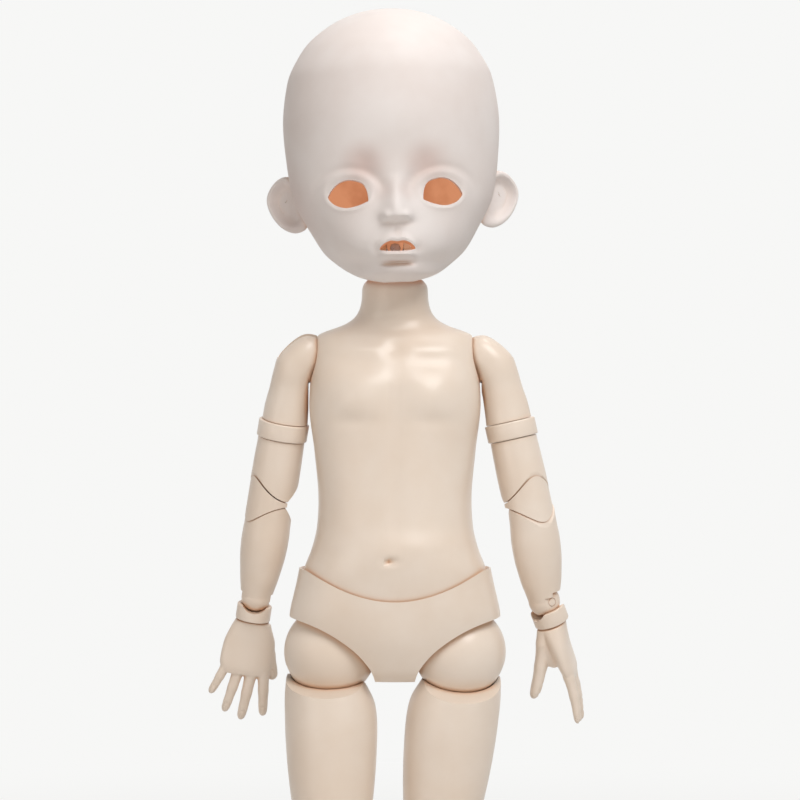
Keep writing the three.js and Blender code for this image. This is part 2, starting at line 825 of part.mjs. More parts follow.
// The block: a wedge with a round seat for each limb, and a strap that reaches both pins
function hingeBlock(size, fold) {
  const wide = size.halfWidth * 3;
  const span = size.pinRise * 2;
  const tube = new THREE.CylinderGeometry(1, 1, 1, roundSides);
  tube.rotateX(quarterTurn);
  tube.scale(size.halfWidth, size.halfDepth, span);
  const column = solid(tube);
  const wedgeFace = -fold * size.wedgeBack;
  const wedgeRoom = between(
    [-wide, Math.min(wedgeFace, -fold * wide), -size.pinRise],
    [wide, Math.max(wedgeFace, -fold * wide), size.pinRise],
  );
  const seatRadius = (size.endRadius + runningGap) / Math.cos(halfTurn / roundSides);
  const centres = [1, -1].map((up) => hingeCentre(size, fold, up));
  const seats = centres.map((centre) => rod('x', seatRadius, wide, centre, seatRadius, roundSides));
  const wedge = less(column.intersect(wedgeRoom), seats);
  const strap = between(
    [-size.strapHalf, Math.min(-fold * size.strapBack, fold * size.strapFront), -size.pinRise],
    [size.strapHalf, Math.max(-fold * size.strapBack, fold * size.strapFront), size.pinRise],
  );
  const eyes = centres.map((centre) => rod('x', size.eyeRadius, size.strapHalf * 2, centre));
  const pinHoles = centres.map((centre) => rod('x', size.pinRadius + runningGap, wide, centre));
  return less(joined([wedge, strap, ...eyes]), pinHoles);
}

function pinSpan(size) {
  return (size.halfWidth - size.skin) * 2;
}

function hingePin(size, fold, up) {
  return rod('x', size.pinRadius, pinSpan(size), hingeCentre(size, fold, up));
}

// Adds the block on its upper pin and the limb below on the lower pin, and gives back a group
// whose origin is the middle of the hinge
function addDoubleHinge(limb, name, size, fold, turn) {
  const [upper, lower] = [1, -1].map((up) => hingeCentre(size, fold, up));
  const blockGroup = joint(limb, upper);
  const blockBench = joint(blockGroup, upper.map((value) => -value));
  blockBench.add(piece(`${name}_block`, hingeBlock(size, fold), cream));
  blockBench.add(piece(`${name}_pin_upper`, hingePin(size, fold, 1), steel));
  blockBench.add(piece(`${name}_pin_lower`, hingePin(size, fold, -1), steel));
  const lowerGroup = joint(blockBench, lower, [turn, 0, 0]);
  return joint(lowerGroup, lower.map((value) => -value));
}

// Arm
const upperArmRowShares = [
  [0, 1, 0.95, 0.95, 2, 0.03],
  [0.17, 0.957, 0.93, 0.93, 2, 0],
  [0.38, 0.887, 0.93, 0.93, 2, 0.02],
  [0.6, 0.94, 1, 1, 2.2, 0.14],
  [0.69, 1.01, 1, 1, 2.2, 0.26],
  [0.8, 0.887, 0.95, 0.95, 2.2, 0.4],
  [0.88, 0.73, 0.85, 0.85, 2.1, 0.487],
  [0.96, 0.5, 0.6, 0.6, 2, 0.574],
  [1, 0.12, 0.1, 0.1, 2, 0.56],
];
const midArmRowShares = [
  [0, 1, 1, 1],
  [0.35, 1.02, 1.01, 1.01],
  [0.7, 1, 1, 1],
  [1, 0.97, 0.98, 0.98],
];
const forearmRowShares = [
  [0, 0.63, 0.66, 0.66],
  [0.06, 0.68, 0.71, 0.71],
  [0.12, 0.745, 0.755, 0.755],
  [0.17, 0.81, 0.79, 0.79],
  [0.3, 0.9, 0.88, 0.88],
  [0.43, 0.97, 0.96, 0.96],
  [0.6, 1, 1, 1],
  [0.81, 0.94, 0.98, 0.98],
  [1, 0.92, 0.98, 0.98],
];
const palmRowShares = [
  [0, 0.9, 0.7, 0.7, 2.3],
  [0.22, 1.05, 0.95, 0.95, 2.3],
  [0.55, 1, 1.1, 1.25, 2.2],
  [0.8, 0.84, 1.35, 1.6, 2.1],
  [1, 0.66, 1.6, 1.8, 2],
];
// Root and tip of each finger as shares of the palm's half width sideways and towards the palm's
// side, and of its length downwards, then its thickness
const fingerShares = [
  [[0.76, 0, -0.93], [1.02, 0.02, -1.75], 1],
  [[0.27, 0, -0.97], [0.15, 0.02, -1.87], 1.02],
  [[-0.25, 0, -0.94], [-0.55, 0.02, -1.76], 0.97],
  [[-0.74, 0, -0.85], [-1.22, 0.02, -1.45], 0.86],
];
// The right thumb lies along the palm, and the left one stands off it
const thumbShares = {
  right: [[0.78, 0.05, -0.28], [1.23, 0.1, -1.05], 1.1],
  left: [[0.3, 0.62, -0.3], [0.62, 1.42, -1.16], 1.35],
};
// Along a finger, then the share of its thickness
const fingerRowShares = [
  [0, 1],
  [0.5, 0.9],
  [0.85, 0.8],
  [1, 0.45],
];

// Height of the mid arm's top over the elbow
function midTop() {
  return arm.elbow - arm.ringTop - arm.ringHeight - runningGap;
}

function makeUpperArm(side, lift) {
  const rows = upperArmRowShares.map(([up, wide, front, back, square, shift]) => [
    up,
    wide,
    front,
    back,
    square,
    -side * shift,
  ]);
  const size = {
    low: -arm.ringTop + runningGap,
    high: arm.domeTop,
    halfWidth: arm.halfWidth,
    front: arm.halfDepth,
    back: arm.halfDepth,
  };
  const far = arm.elbow;
  const top = ball(shoulder.domeRadius, [0, 0, 0], cupSides);
  const dome = top.add(between([-far, -far, -far], [far, far, 0]));
  const wallX = shoulder.spread - torso.halfWidth - runningGap;
  const wall = between(
    [Math.min(-side * wallX, -side * far), -far, -far],
    [Math.max(-side * wallX, -side * far), far, far],
  ).subtract(top);
  const room = shoulderHub.eyeRadius + runningGap * 2;
  const slotHalf = shoulderHub.eyeWidth * halfShare + runningGap;
  const inner = [-side * far, far];
  const slot = between(
    [Math.min(inner[0], side * room), -slotHalf, -room],
    [Math.max(inner[0], side * room), slotHalf, far],
  );
  const slotTop = between([-far, -slotHalf, -shoulderHub.crossRadius], [far, slotHalf, far]);
  const pinHoleReach = (shoulderHub.crossReach + runningGap) * 2;
  const pinHole = rod('y', shoulderHub.crossRadius + runningGap, pinHoleReach, [0, 0, 0]);
  const boreDepth = arm.tenonReach + runningGap;
  const bore = rod('z', arm.tenonRadius + runningGap, boreDepth * 2, [0, 0, -arm.ringTop]);
  return less(lofted(rows, size, limbSides).intersect(dome), [
    wall.rotate([0, -lift, 0]),
    slot,
    slotTop,
    pinHole,
    bore,
  ]);
}

function makeShoulderHub(side) {
  const length = shoulder.spread - shoulder.hubInside;
  const flangeX = -side * (length - shoulderHub.flangeThick * halfShare);
  return joined([
    rod('x', shoulder.hubRadius, length, [-side * length * halfShare, 0, 0]),
    rod('x', shoulder.flangeRadius, shoulderHub.flangeThick, [flangeX, 0, 0]),
    rod('y', shoulderHub.eyeRadius, shoulderHub.eyeWidth, [0, 0, 0]),
    rod('y', shoulderHub.crossRadius, shoulderHub.crossReach * 2, [0, 0, 0]),
  ]);
}

function makeRing() {
  const z = midTop() + runningGap + arm.ringHeight * halfShare;
  const radius = arm.halfDepth + arm.ringProud;
  const height = arm.ringHeight - runningGap;
  return rod('z', radius, height, [0, 0, z], radius, limbSides).subtract(
    rod('z', arm.tenonRadius + runningGap, arm.ringHeight * 2, [0, 0, z]),
  );
}

function makeMidArm() {
  const size = {
    low: 0,
    high: midTop(),
    halfWidth: elbow.halfWidth,
    front: elbow.halfDepth,
    back: elbow.halfDepth,
  };
  const top = arm.elbow - arm.ringTop + arm.tenonReach;
  const tenonFoot = midTop() - arm.tenonReach * halfShare;
  const tenon = rod('z', arm.tenonRadius, top - tenonFoot, [0, 0, (top + tenonFoot) * halfShare]);
  return hingeEnd(lofted(midArmRowShares, size, limbSides), elbow, -1, 1).add(tenon);
}

// Room for the cuff's tab, from its forward turn to its back turn
function wristSlot() {
  const drop = wrist.cuffBottom;
  const half = wrist.tabRadius + runningGap;
  const sides = [[-1, wrist.forwardTurn * degree], [1, wrist.backTurn * degree]];
  const [front, back] = sides.map(([way, turn]) => [
    [way * half * Math.cos(turn), half * Math.sin(turn)],
    [(way * (half + drop * Math.sin(turn))) / Math.cos(turn), -drop],
  ]);
  const outline = [front[0], front[1], back[1], back[0]];
  const width = wrist.tabThick + runningGap * 2;
  return sideCutter(outline, width).add(rod('x', half, width, [0, 0, 0]));
}

// The forearm ends in a ball about the wrist pin, slotted for the cuff's tab. It is recessed round
// the pin's ends and relieved behind, where the cuff's rim swings up.
function makeForearm(wristTurn) {
  const size = {
    low: -forearm.wrist,
    high: 0,
    halfWidth: forearm.halfWidth,
    front: forearm.halfDepth,
    back: forearm.halfDepth,
  };
  const limb = hingeEnd(lofted(forearmRowShares, size, limbSides), elbow, -1, -1);
  const end = ball(wrist.ballRadius, [0, 0, -forearm.wrist]);
  const wide = forearm.halfWidth * 2;
  const relief = between([-wide, 0, -wide], [wide, wide, wrist.reliefRise]).subtract(
    ball(wrist.ballRadius, [0, 0, 0]),
  );
  const recesses = [-1, 1].map((side) =>
    between(
      [Math.min(side * wrist.recessFloor, side * wide), -wrist.recessHalf, -wide],
      [Math.max(side * wrist.recessFloor, side * wide), wrist.recessHalf, wrist.recessRise],
    ),
  );
  const hole = rod('x', wrist.pinRadius + runningGap, wide, [0, 0, 0]);
  const cuts = [wristSlot(), relief, hole, ...recesses].map((cut) =>
    cut.rotate([0, 0, wristTurn]).translate([0, 0, -forearm.wrist]),
  );
  return less(limb.add(end), cuts);
}

// The cuff is a cup for the forearm's ball, with a tab on the pin and a bore for the hand's peg
function makeCuff() {
  const height = wrist.cuffBottom - wrist.cuffTop;
  const middle = [0, 0, -wrist.cuffTop - height * halfShare];
  const dip = rod('y', wrist.dipRadius, overrun * 3, [0, 0, 0]);
  const cup = less(rod('z', wrist.cuffRadius, height, middle, wrist.cuffRadius, limbSides), [
    ball(wrist.ballRadius + runningGap, [0, 0, 0]),
    dip,
  ]);
  const half = wrist.tabThick * halfShare;
  const floor = -wrist.ballRadius - runningGap * 2;
  const tab = between([-half, -wrist.tabRadius, floor], [half, wrist.tabRadius, 0]).add(
    rod('x', wrist.tabRadius, wrist.tabThick, [0, 0, 0]),
  );
  const boreLength = (wrist.pegReach + runningGap) * 2;
  const bore = rod('z', wrist.pegRadius + runningGap, boreLength, [0, 0, -wrist.cuffBottom]);
  const pinHole = rod('x', wrist.pinRadius + runningGap, overrun * 3, [0, 0, 0]);
  return less(cup.add(tab), [bore, pinHole]);
}

// A finger: a narrowing round rod with a domed tip, from root to tip
function makeFinger(root, tip, radius, tipRadius) {
  const direction = new THREE.Vector3().subVectors(tip, root);
  const length = direction.length();
  const rings = fingerRowShares.map(([share, wide]) => {
    const r = THREE.MathUtils.lerp(radius, tipRadius, share) * wide;
    return ovalRing(fingerSides, share * length, r, r, r, 2, 0, 0);
  });
  const turn = new THREE.Quaternion().setFromUnitVectors(new THREE.Vector3(0, 0, 1), direction.normalize());
  const place = new THREE.Matrix4().compose(root, turn, new THREE.Vector3(1, 1, 1));
  return solid(loft(rings), place);
}

// The hand hangs from its wrist. The palm faces +y, with the thumb on the +x side of a right hand.
function makeHand(side) {
  const size = {
    low: -hand.palmLength,
    high: -runningGap,
    halfWidth: hand.palmHalfWidth,
    front: hand.palmHalfThick,
    back: hand.palmHalfThick,
  };
  const parts = [
    lofted(palmRowShares, size, limbSides),
    rod('z', wrist.pegRadius, wrist.pegReach * 2, [0, 0, 0]),
  ];
  const thumb = side < 0 ? thumbShares.right : thumbShares.left;
  for (const [root, tip, thick] of [...fingerShares, thumb]) {
    const [from, to] = [root, tip].map(
      ([x, y, z]) =>
        new THREE.Vector3(-side * x * hand.palmHalfWidth, y * hand.palmHalfWidth, z * hand.palmLength),
    );
    parts.push(makeFinger(from, to, hand.fingerRadius * thick, hand.fingerTipRadius * thick));
  }
  return joined(parts);
}

function addArm(name, side, rest) {
  const shoulderCentre = [side * shoulder.spread, 0, waistToShoulder];
  const hub = joint(torsoGroup, shoulderCentre, [-rest.swing, 0, 0]);
  hub.add(piece(`${name}_shoulder_hub`, makeShoulderHub(side), nylon));
  const upper = joint(hub, [0, 0, 0], [0, rest.lift, 0]);
  upper.add(piece(`${name}_upper_arm`, makeUpperArm(side, rest.lift), cream));
  const mid = joint(upper, [0, 0, -arm.elbow], [0, 0, rest.twist]);
  mid.add(piece(`${name}_arm_ring`, makeRing(), cream));
  mid.add(piece(`${name}_mid_arm`, makeMidArm(), cream));
  const foreBench = addDoubleHinge(mid, `${name}_elbow`, elbow, -1, -rest.forearm);
  foreBench.add(piece(`${name}_forearm`, makeForearm(rest.wristTurn), cream));
  const wristGroup = joint(foreBench, [0, 0, -forearm.wrist], [0, 0, rest.wristTurn]);
  const cuff = joint(wristGroup, [0, 0, 0], [rest.wristBend, 0, 0]);
  cuff.add(piece(`${name}_wrist_cuff`, makeCuff(), cream));
  cuff.add(piece(`${name}_wrist_pin`, rod('x', wrist.pinRadius, wrist.pinReach * 2, [0, 0, 0]), steel));
  const palm = joint(cuff, [0, 0, -wrist.cuffBottom], [0, 0, rest.handTurn]);
  palm.add(piece(`${name}_hand`, makeHand(side), cream));
}

addArm('right', -1, pose.rightArm);
addArm('left', 1, pose.leftArm);

// Leg
const thighRowShares = [
  [0, 0.626, 0.62, 0.62],
  [0.09, 0.62, 0.62, 0.62],
  [0.2, 0.66, 0.66, 0.68],
  [0.36, 0.765, 0.78, 0.79],
  [0.52, 0.887, 0.88, 0.9],
  [0.66, 0.965, 0.95, 0.97],
  [0.8, 1, 1, 1.02],
  [0.88, 0.985, 1, 1.02, 2, 0.02],
  [0.94, 0.9, 0.98, 1, 2, 0.09],
  [1, 0.79, 0.93, 0.96, 2, 0.16],
];
const shinRowShares = [
  [0, 0.62, 0.56, 0.56],
  [0.2, 0.66, 0.56, 0.62],
  [0.4, 0.8, 0.68, 0.8],
  [0.6, 0.96, 0.8, 0.97],
  [0.76, 1, 0.84, 1],
  [0.88, 0.96, 0.86, 0.94],
  [1, 0.91, 0.86, 0.88],
];
const footRowShares = [
  [0, 0.92, 0.95, 0.9, 2.4],
  [0.06, 0.98, 1, 0.97, 2.4],
  [0.28, 1, 0.97, 1, 2.3],
  [0.46, 0.95, 0.74, 0.97, 2.2],
  [0.7, 0.87, 0.42, 0.85, 2],
  [1, 0.82, 0.2, 0.58, 2],
];
// Slot under the hip ball, as shares of its radius, outwards and up
const hipSlotShares = [
  [-0.19, 0.19],
  [0.21, 0.19],
  [1.1, -0.42],
  [1.1, -1.3],
  [-0.45, -1.3],
  [-0.2, 0],
];

function makeHipBall(side) {
  const reach = hip.spread * 2;
  const boreX = -side * (reach * halfShare + hip.axleEnd - runningGap);
  const slot = hipSlotShares.map(([x, z]) => [side * x * hip.ballRadius, z * hip.ballRadius]);
  return less(ball(hip.ballRadius, [0, 0, 0], cupSides), [
    frontCutter(slot, (hip.stemRadius + runningGap) * 2),
    rod('x', hip.axleRadius + runningGap, reach, [boreX, 0, 0]),
    rod('y', hipStem.crossRadius + runningGap, (hipStem.crossReach + runningGap) * 2, [0, 0, 0]),
  ]);
}

function makeHipStem() {
  const top = hipStem.crossRadius;
  return joined([
    rod('z', hip.stemRadius, hip.stemLength + top, [0, 0, (top - hip.stemLength) * halfShare]),
    rod('y', hipStem.crossRadius, hipStem.crossReach * 2, [0, 0, 0]),
    rod('z', hipStem.flangeRadius, hipStem.flangeThick, [0, 0, hipStem.flangeThick * halfShare - hip.stemLength]),
  ]);
}

// The thigh is measured from the middle of the knee
function makeThigh(side) {
  const rows = thighRowShares.map(([up, wide, front, back, square, shift = 0]) => [
    up,
    wide,
    front,
    back,
    square,
    side * shift,
  ]);
  const size = {
    low: 0,
    high: thighLength - thigh.rimDrop,
    halfWidth: thigh.halfWidth,
    front: thigh.halfDepth,
    back: thigh.halfDepth,
  };
  const front = -thigh.halfDepth - overrun;
  const top = thighLength + overrun;
  const pocketLow = thighLength - hip.stemLength - runningGap;
  const pocket = hipStem.flangeThick + runningGap * 2;
  const bore = hip.stemLength - hipStem.flangeThick;
  const notch = [
    [thigh.notchBack, size.high],
    [front, thighLength - thigh.notchDrop],
    [front, top],
    [thigh.notchBack, top],
  ];
  const cuts = [
    cup(hip.ballRadius + runningGap, [0, 0, thighLength]),
    sideCutter(notch, thigh.halfWidth * 3),
    rod('z', hip.stemRadius + runningGap, bore, [0, 0, thighLength - bore * halfShare]),
    rod('z', hipStem.flangeRadius + runningGap, pocket, [0, 0, pocketLow + pocket * halfShare]),
  ];
  return less(hingeEnd(lofted(rows, size, bodySides), knee, 1, 1), cuts);
}

function makeShin() {
  const size = {
    low: ankle.shinEnd - shinLength,
    high: 0,
    halfWidth: shin.halfWidth,
    front: shin.halfDepth,
    back: shin.halfDepth,
  };
  const limb = hingeEnd(lofted(shinRowShares, size, limbSides), knee, 1, -1);
  return limb.subtract(cup(ankle.ballRadius + runningGap, [0, 0, -shinLength], ballSides));
}

function makeFoot() {
  const size = {
    low: -ankleHeight,
    high: foot.height - ankleHeight,
    halfWidth: foot.halfWidth,
    front: foot.toeReach,
    back: foot.heelReach,
  };
  return lofted(footRowShares, size, limbSides).subtract(cup(ankle.ballRadius + runningGap, [0, 0, 0], ballSides));
}

function addLeg(name, side, tilt, swing) {
  const hipGroup = joint(pelvisGroup, [side * hip.spread, 0, 0], [-swing, 0, 0]);
  hipGroup.add(piece(`${name}_hip_ball`, makeHipBall(side), cream));
  const stem = joint(hipGroup, [0, 0, 0], [0, tilt, 0]);
  stem.add(piece(`${name}_hip_stem`, makeHipStem(), steel));
  const kneeBench = joint(stem, [0, 0, -thighLength]);
  kneeBench.add(piece(`${name}_thigh`, makeThigh(side), cream));
  const shinBench = addDoubleHinge(kneeBench, `${name}_knee`, knee, 1, 0);
  shinBench.add(piece(`${name}_shin`, makeShin(), cream));
  const ankleGroup = joint(shinBench, [0, 0, -shinLength], [swing, 0, 0]);
  ankleGroup.add(piece(`${name}_ankle_ball`, ball(ankle.ballRadius, [0, 0, 0]), cream));
  const footGroup = joint(ankleGroup, [0, 0, 0], [0, -tilt, 0]);
  footGroup.add(piece(`${name}_foot`, makeFoot(), cream));
}

// The right leg steps forward until its sole is as low as the left one, which is drawn in
const leftDrop = Math.cos(pose.leftLeg * degree);
const stepSwing = Math.acos(leftDrop / Math.cos(pose.rightLeg * degree)) / degree;
addLeg('left', 1, pose.leftLeg, 0);
addLeg('right', -1, pose.rightLeg, stepSwing);

// The doll stands with its soles at height zero and its footprint centred
stand.position.z = ankleHeight + legLength * leftDrop;
doll.updateMatrixWorld(true);
const bounds = new THREE.Box3().setFromObject(doll, true);
doll.position.set(-(bounds.min.x + bounds.max.x) * halfShare, -(bounds.min.y + bounds.max.y) * halfShare, 0);

export default doll;
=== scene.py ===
"""Looks of a ball jointed doll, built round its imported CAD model. It runs inside Blender 4.5.

Shapes are worked out in millimetres about the joint that carries them, and put in place by the
joints of the frame. The doll faces -Y and its own left side is at +X.
"""
import json
import math
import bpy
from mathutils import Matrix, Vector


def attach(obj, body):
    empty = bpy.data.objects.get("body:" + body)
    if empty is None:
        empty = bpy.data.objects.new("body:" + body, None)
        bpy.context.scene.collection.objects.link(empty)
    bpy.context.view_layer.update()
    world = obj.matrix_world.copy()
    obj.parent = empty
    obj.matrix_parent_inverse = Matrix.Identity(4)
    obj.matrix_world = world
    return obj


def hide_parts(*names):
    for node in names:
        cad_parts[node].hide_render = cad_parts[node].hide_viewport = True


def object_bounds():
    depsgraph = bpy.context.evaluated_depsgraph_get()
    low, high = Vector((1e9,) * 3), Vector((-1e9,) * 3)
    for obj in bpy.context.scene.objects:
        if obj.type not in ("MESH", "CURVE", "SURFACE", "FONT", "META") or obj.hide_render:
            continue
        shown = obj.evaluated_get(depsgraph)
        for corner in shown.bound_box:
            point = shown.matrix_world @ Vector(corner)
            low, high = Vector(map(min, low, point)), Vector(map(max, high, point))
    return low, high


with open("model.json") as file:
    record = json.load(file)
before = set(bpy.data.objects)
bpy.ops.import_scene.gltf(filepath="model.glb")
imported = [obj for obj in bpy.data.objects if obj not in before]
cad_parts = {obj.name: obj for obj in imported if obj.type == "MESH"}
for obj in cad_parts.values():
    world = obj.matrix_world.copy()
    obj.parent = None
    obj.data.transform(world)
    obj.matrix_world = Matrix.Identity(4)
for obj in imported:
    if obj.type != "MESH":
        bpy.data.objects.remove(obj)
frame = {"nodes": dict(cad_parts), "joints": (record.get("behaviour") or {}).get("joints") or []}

from types import SimpleNamespace as Sizes

import bmesh
import bpy
import numpy as np
from mathutils import Matrix, Vector

cad_low, cad_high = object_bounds()

# Shared values, in millimetres
MM = 0.001
GAP = 0.3  # between pieces that touch
FAR = 90.0  # reach of a cutter that goes right through
ROUND = 72  # sides of a visible round
FINE = 48  # sides of a small round
ROWS = 56  # rows of a limb's skin


def smoothstep(low, high, value):
    share = np.clip((value - low) / (high - low), 0, 1)
    return share * share * (3 - 2 * share)


# Places, from the frame's joints
joints = {joint["name"]: joint for joint in frame["joints"]}


def anchor(name):
    return Vector(joints[name]["pos_m"])


def axis(name):
    return Vector(joints[name]["axis"]).normalized()


def place(origin, across, up):
    """The matrix of a bench whose x runs along across and z along up, scaled from millimetres."""
    up = up.normalized()
    back = up.cross(across).normalized()
    across = back.cross(up)
    turned = Matrix((across, back, up)).transposed().to_4x4()
    return Matrix.Translation(origin) @ turned @ Matrix.Scale(MM, 4)


def upwards(direction):
    return direction if direction.z > 0 else -direction


X = Vector((1, 0, 0))
Z = Vector((0, 0, 1))


# Meshes
def piece(name, points, faces, inside=0):
    """A mesh object from points in millimetres. inside is the index of the material it cuts with."""
    mesh = bpy.data.meshes.new(name)
    mesh.from_pydata([tuple(p) for p in np.asarray(points, float)], [], faces)
    mesh.update()
    obj = bpy.data.objects.new(name, mesh)
    bpy.context.scene.collection.objects.link(obj)
    if inside:
        dress(obj, (head_vinyl, head_inside))
        mesh.polygons.foreach_set("material_index", [inside] * len(mesh.polygons))
    return obj


def dress(obj, look):
    for material in look:
        obj.data.materials.append(material)


def skin(rings, inside=0):
    """One closed skin through stacked rings of points, lowest first, with a fan at each end."""
    rows, sides, _ = rings.shape
    points = list(rings.reshape(-1, 3)) + [rings[0].mean(0), rings[-1].mean(0)]
    faces = []
    for r in range(rows - 1):
        for k in range(sides):
            a, b = r * sides + k, r * sides + (k + 1) % sides
            faces.append((a, b, b + sides, a + sides))
    top = (rows - 1) * sides
    for k in range(sides):
        faces.append((rows * sides, (k + 1) % sides, k))
        faces.append((rows * sides + 1, top + k, top + (k + 1) % sides))
    return piece("skin", points, faces, inside)


def through(places, values, wanted):
    """A smooth curve through values at places, without overshoot, read at the wanted places."""
    step = np.diff(places)
    slope = np.diff(values) / step
    tangent = np.zeros_like(values)
    same = slope[:-1] * slope[1:] > 0
    total = step[:-1] + step[1:]
    share = (total + step[1:]) / (3 * total)
    with np.errstate(divide="ignore", invalid="ignore"):
        blend = slope[:-1] * slope[1:] / (share * slope[1:] + (1 - share) * slope[:-1])
    tangent[1:-1] = np.where(same, blend, 0)
    tangent[0], tangent[-1] = slope[0], slope[-1]
    k = np.clip(np.searchsorted(places, wanted, side="right") - 1, 0, len(step) - 1)
    s = (wanted - places[k]) / step[k]
    rise = values[k + 1] - values[k]
    return (
        values[k]
        + rise * s * s * (3 - 2 * s)
        + step[k] * s * (1 - s) * ((1 - s) * tangent[k] - s * tangent[k + 1])
    )


def dense(rows, count, soften=3):
    """Rows of a loft filled in smoothly to count rows. The first and last row stay."""
    rows = np.array([list(row) + [2, 0, 0][len(row) - 4 :] for row in rows], float)
    far = np.hypot(np.diff(rows[:, 0]), np.diff(rows[:, 1]))
    places = np.concatenate([[0], np.cumsum(np.maximum(far, 0.01))])
    wanted = np.linspace(0, places[-1], count)
    filled = np.stack([through(places, column, wanted) for column in rows.T], 1)
    for _ in range(soften):
        filled[1:-1] = (filled[:-2] + 2 * filled[1:-1] + filled[2:]) / 4
    return filled


def oval_rings(rows, sides=ROUND, crowding=0.0):
    """Rings of points. A row is height, half width, front, back, squareness, shift x, shift y.
    Crowding draws the points together in front."""
    turn = np.arange(sides) / sides * 2 * math.pi
    turn = turn - crowding * np.cos(turn)
    c, s = np.cos(turn)[None], np.sin(turn)[None]
    z, wide, front, back, square, side, shift = (column[:, None] for column in rows.T)
    power = 2 / square
    x = np.sign(c) * np.abs(c) ** power * wide + side
    y = np.sign(s) * np.abs(s) ** power * np.where(s < 0, front, back) + shift
    return np.stack([x, y, np.broadcast_to(z, x.shape)], 2)


def shares(table, size, inset=0.0, mirror=1):
    """Rows in millimetres from rows of shares of a size, drawn in by the inset."""
    rows = []
    for up, wide, front, back, *rest in table:
        square, side, shift = list(rest) + [2, 0, 0][len(rest) :]
        rows.append(
            (
                size.low + inset + (size.high - size.low - 2 * inset) * up,
                max(size.half_width * wide - inset, 0.01),
                max(size.front * front - inset, 0.01),
                max(size.back * back - inset, 0.01),
                square,
                size.half_width * side * mirror,
                size.front * shift,
            )
        )
    return rows


def changed(sizes, **values):
    """A copy of sizes with some values changed."""
    return Sizes(**{**vars(sizes), **values})


def limb_size(low, high, size):
    """The size of a limb's loft, from sizes with a half width and a half depth."""
    return Sizes(low=low, high=high, half_width=size.half_width, front=size.half_depth, back=size.half_depth)


def ball(radius, centre=(0, 0, 0), sides=ROUND, squash=(1, 1, 1)):
    lift = np.linspace(-math.pi / 2, math.pi / 2, sides // 2 + 1)[1:-1]
    turn = np.arange(sides) / sides * 2 * math.pi
    flat = np.cos(lift)[:, None]
    rings = np.stack(
        [
            radius * squash[0] * flat * np.cos(turn),
            radius * squash[1] * flat * np.sin(turn),
            np.repeat((radius * squash[2] * np.sin(lift))[:, None], sides, 1),
        ],
        2,
    )
    obj = skin(rings + np.array(centre))
    poles = obj.data.vertices
    for pole, way in ((len(poles) - 2, -1), (len(poles) - 1, 1)):
        poles[pole].co = np.array(centre, float) + (0, 0, way * radius * squash[2])
    return obj


def rod(direction, radius, length, centre=(0, 0, 0), sides=FINE, rounding=0.0):
    """A round rod about a centre. Its ends may be rounded off."""
    rows = [(-length / 2, radius), (length / 2, radius)]
    if rounding:
        turn = np.linspace(0, math.pi / 2, 5)
        inset = [(rounding * (1 - math.sin(t)), rounding * (1 - math.cos(t))) for t in turn[::-1]]
        bottom = [(-length / 2 + up, radius - inwards) for up, inwards in inset]
        rows = bottom + [(-z, r) for z, r in reversed(bottom)]
    turn = np.arange(sides) / sides * 2 * math.pi
    rings = np.array([[(r * math.cos(t), r * math.sin(t), z) for t in turn] for z, r in rows])
    if direction == "x":
        rings = rings[:, :, [2, 0, 1]]
    if direction == "y":
        rings = rings[:, :, [1, 2, 0]]
    return skin(rings + np.array(centre))


def between(low, high):
    low, high = np.minimum(low, high), np.maximum(low, high)
    corners = [(x, y, z) for z in (low[2], high[2]) for y in (low[1], high[1]) for x in (low[0], high[0])]
    faces = [(0, 2, 3, 1), (4, 5, 7, 6), (0, 1, 5, 4), (2, 6, 7, 3), (0, 4, 6, 2), (1, 3, 7, 5)]
    return piece("block", corners, faces)


def prism(outline, direction, low, high, inside=0):
    """A flat outline pushed along x or y. Its points are [y, z] along x, and [x, z] along y."""
    outline = [tuple(p) for p in outline]
    area = sum(a[0] * b[1] - b[0] * a[1] for a, b in zip(outline, outline[1:] + outline[:1]))
    if (area < 0) == (direction == "x"):
        outline = outline[::-1]
    points = []
    for depth in (low, high):
        points += [(depth, p[0], p[1]) if direction == "x" else (p[0], depth, p[1]) for p in outline]
    n = len(outline)
    faces = [tuple(reversed(range(n))), tuple(range(n, 2 * n))]
    faces += [(k, (k + 1) % n, n + (k + 1) % n, n + k) for k in range(n)]
    return piece("prism", points, faces, inside)


def settle(obj):
    """Applies an object's modifiers."""
    shaped = obj.evaluated_get(bpy.context.evaluated_depsgraph_get())
    mesh = bpy.data.meshes.new_from_object(shaped)
    obj.modifiers.clear()
    obj.data = mesh


def combine(obj, others, operation):
    for other in others:
        step = obj.modifiers.new("combine", "BOOLEAN")
        step.operation = operation
        step.solver = "MANIFOLD"
        step.object = other
        bpy.context.view_layer.update()
        settle(obj)
        bpy.data.objects.remove(other)
    return obj


def less(obj, *cutters):
    return combine(obj, cutters, "DIFFERENCE")


def joined(obj, *others):
    return combine(obj, others, "UNION")


def within(obj, *limits):
    return combine(obj, limits, "INTERSECT")


def copied(obj):
    twin = obj.copy()
    twin.data = obj.data.copy()
    bpy.context.scene.collection.objects.link(twin)
    return twin


def turned(obj, matrix):
    obj.data.transform(matrix)
    return obj


def add_lump(points, centre, reach, height, direction, mask=None):
    """Pushes points along a direction where they are near a centre. A reach of None doesn't count."""
    far = 0
    for k, size in enumerate(reach):
        if size is not None:
            far = far + ((points[..., k] - centre[k]) / size) ** 2
    weight = np.exp(-far) * height
    if mask is not None:
        weight = weight * mask
    points += weight[..., None] * np.array(direction, float)


def add_lumps(rings, lumps):
    """Raises lumps from the front (-1) or the back (1) of a skin, at each of their places across."""
    front = rings[..., 1] < 0
    for places, height, across, up, rise, way in lumps:
        for x in places:
            mask = front if way < 0 else ~front
            add_lump(rings, (x, 0, height), (across, None, up), rise, (0, way, 0), mask)


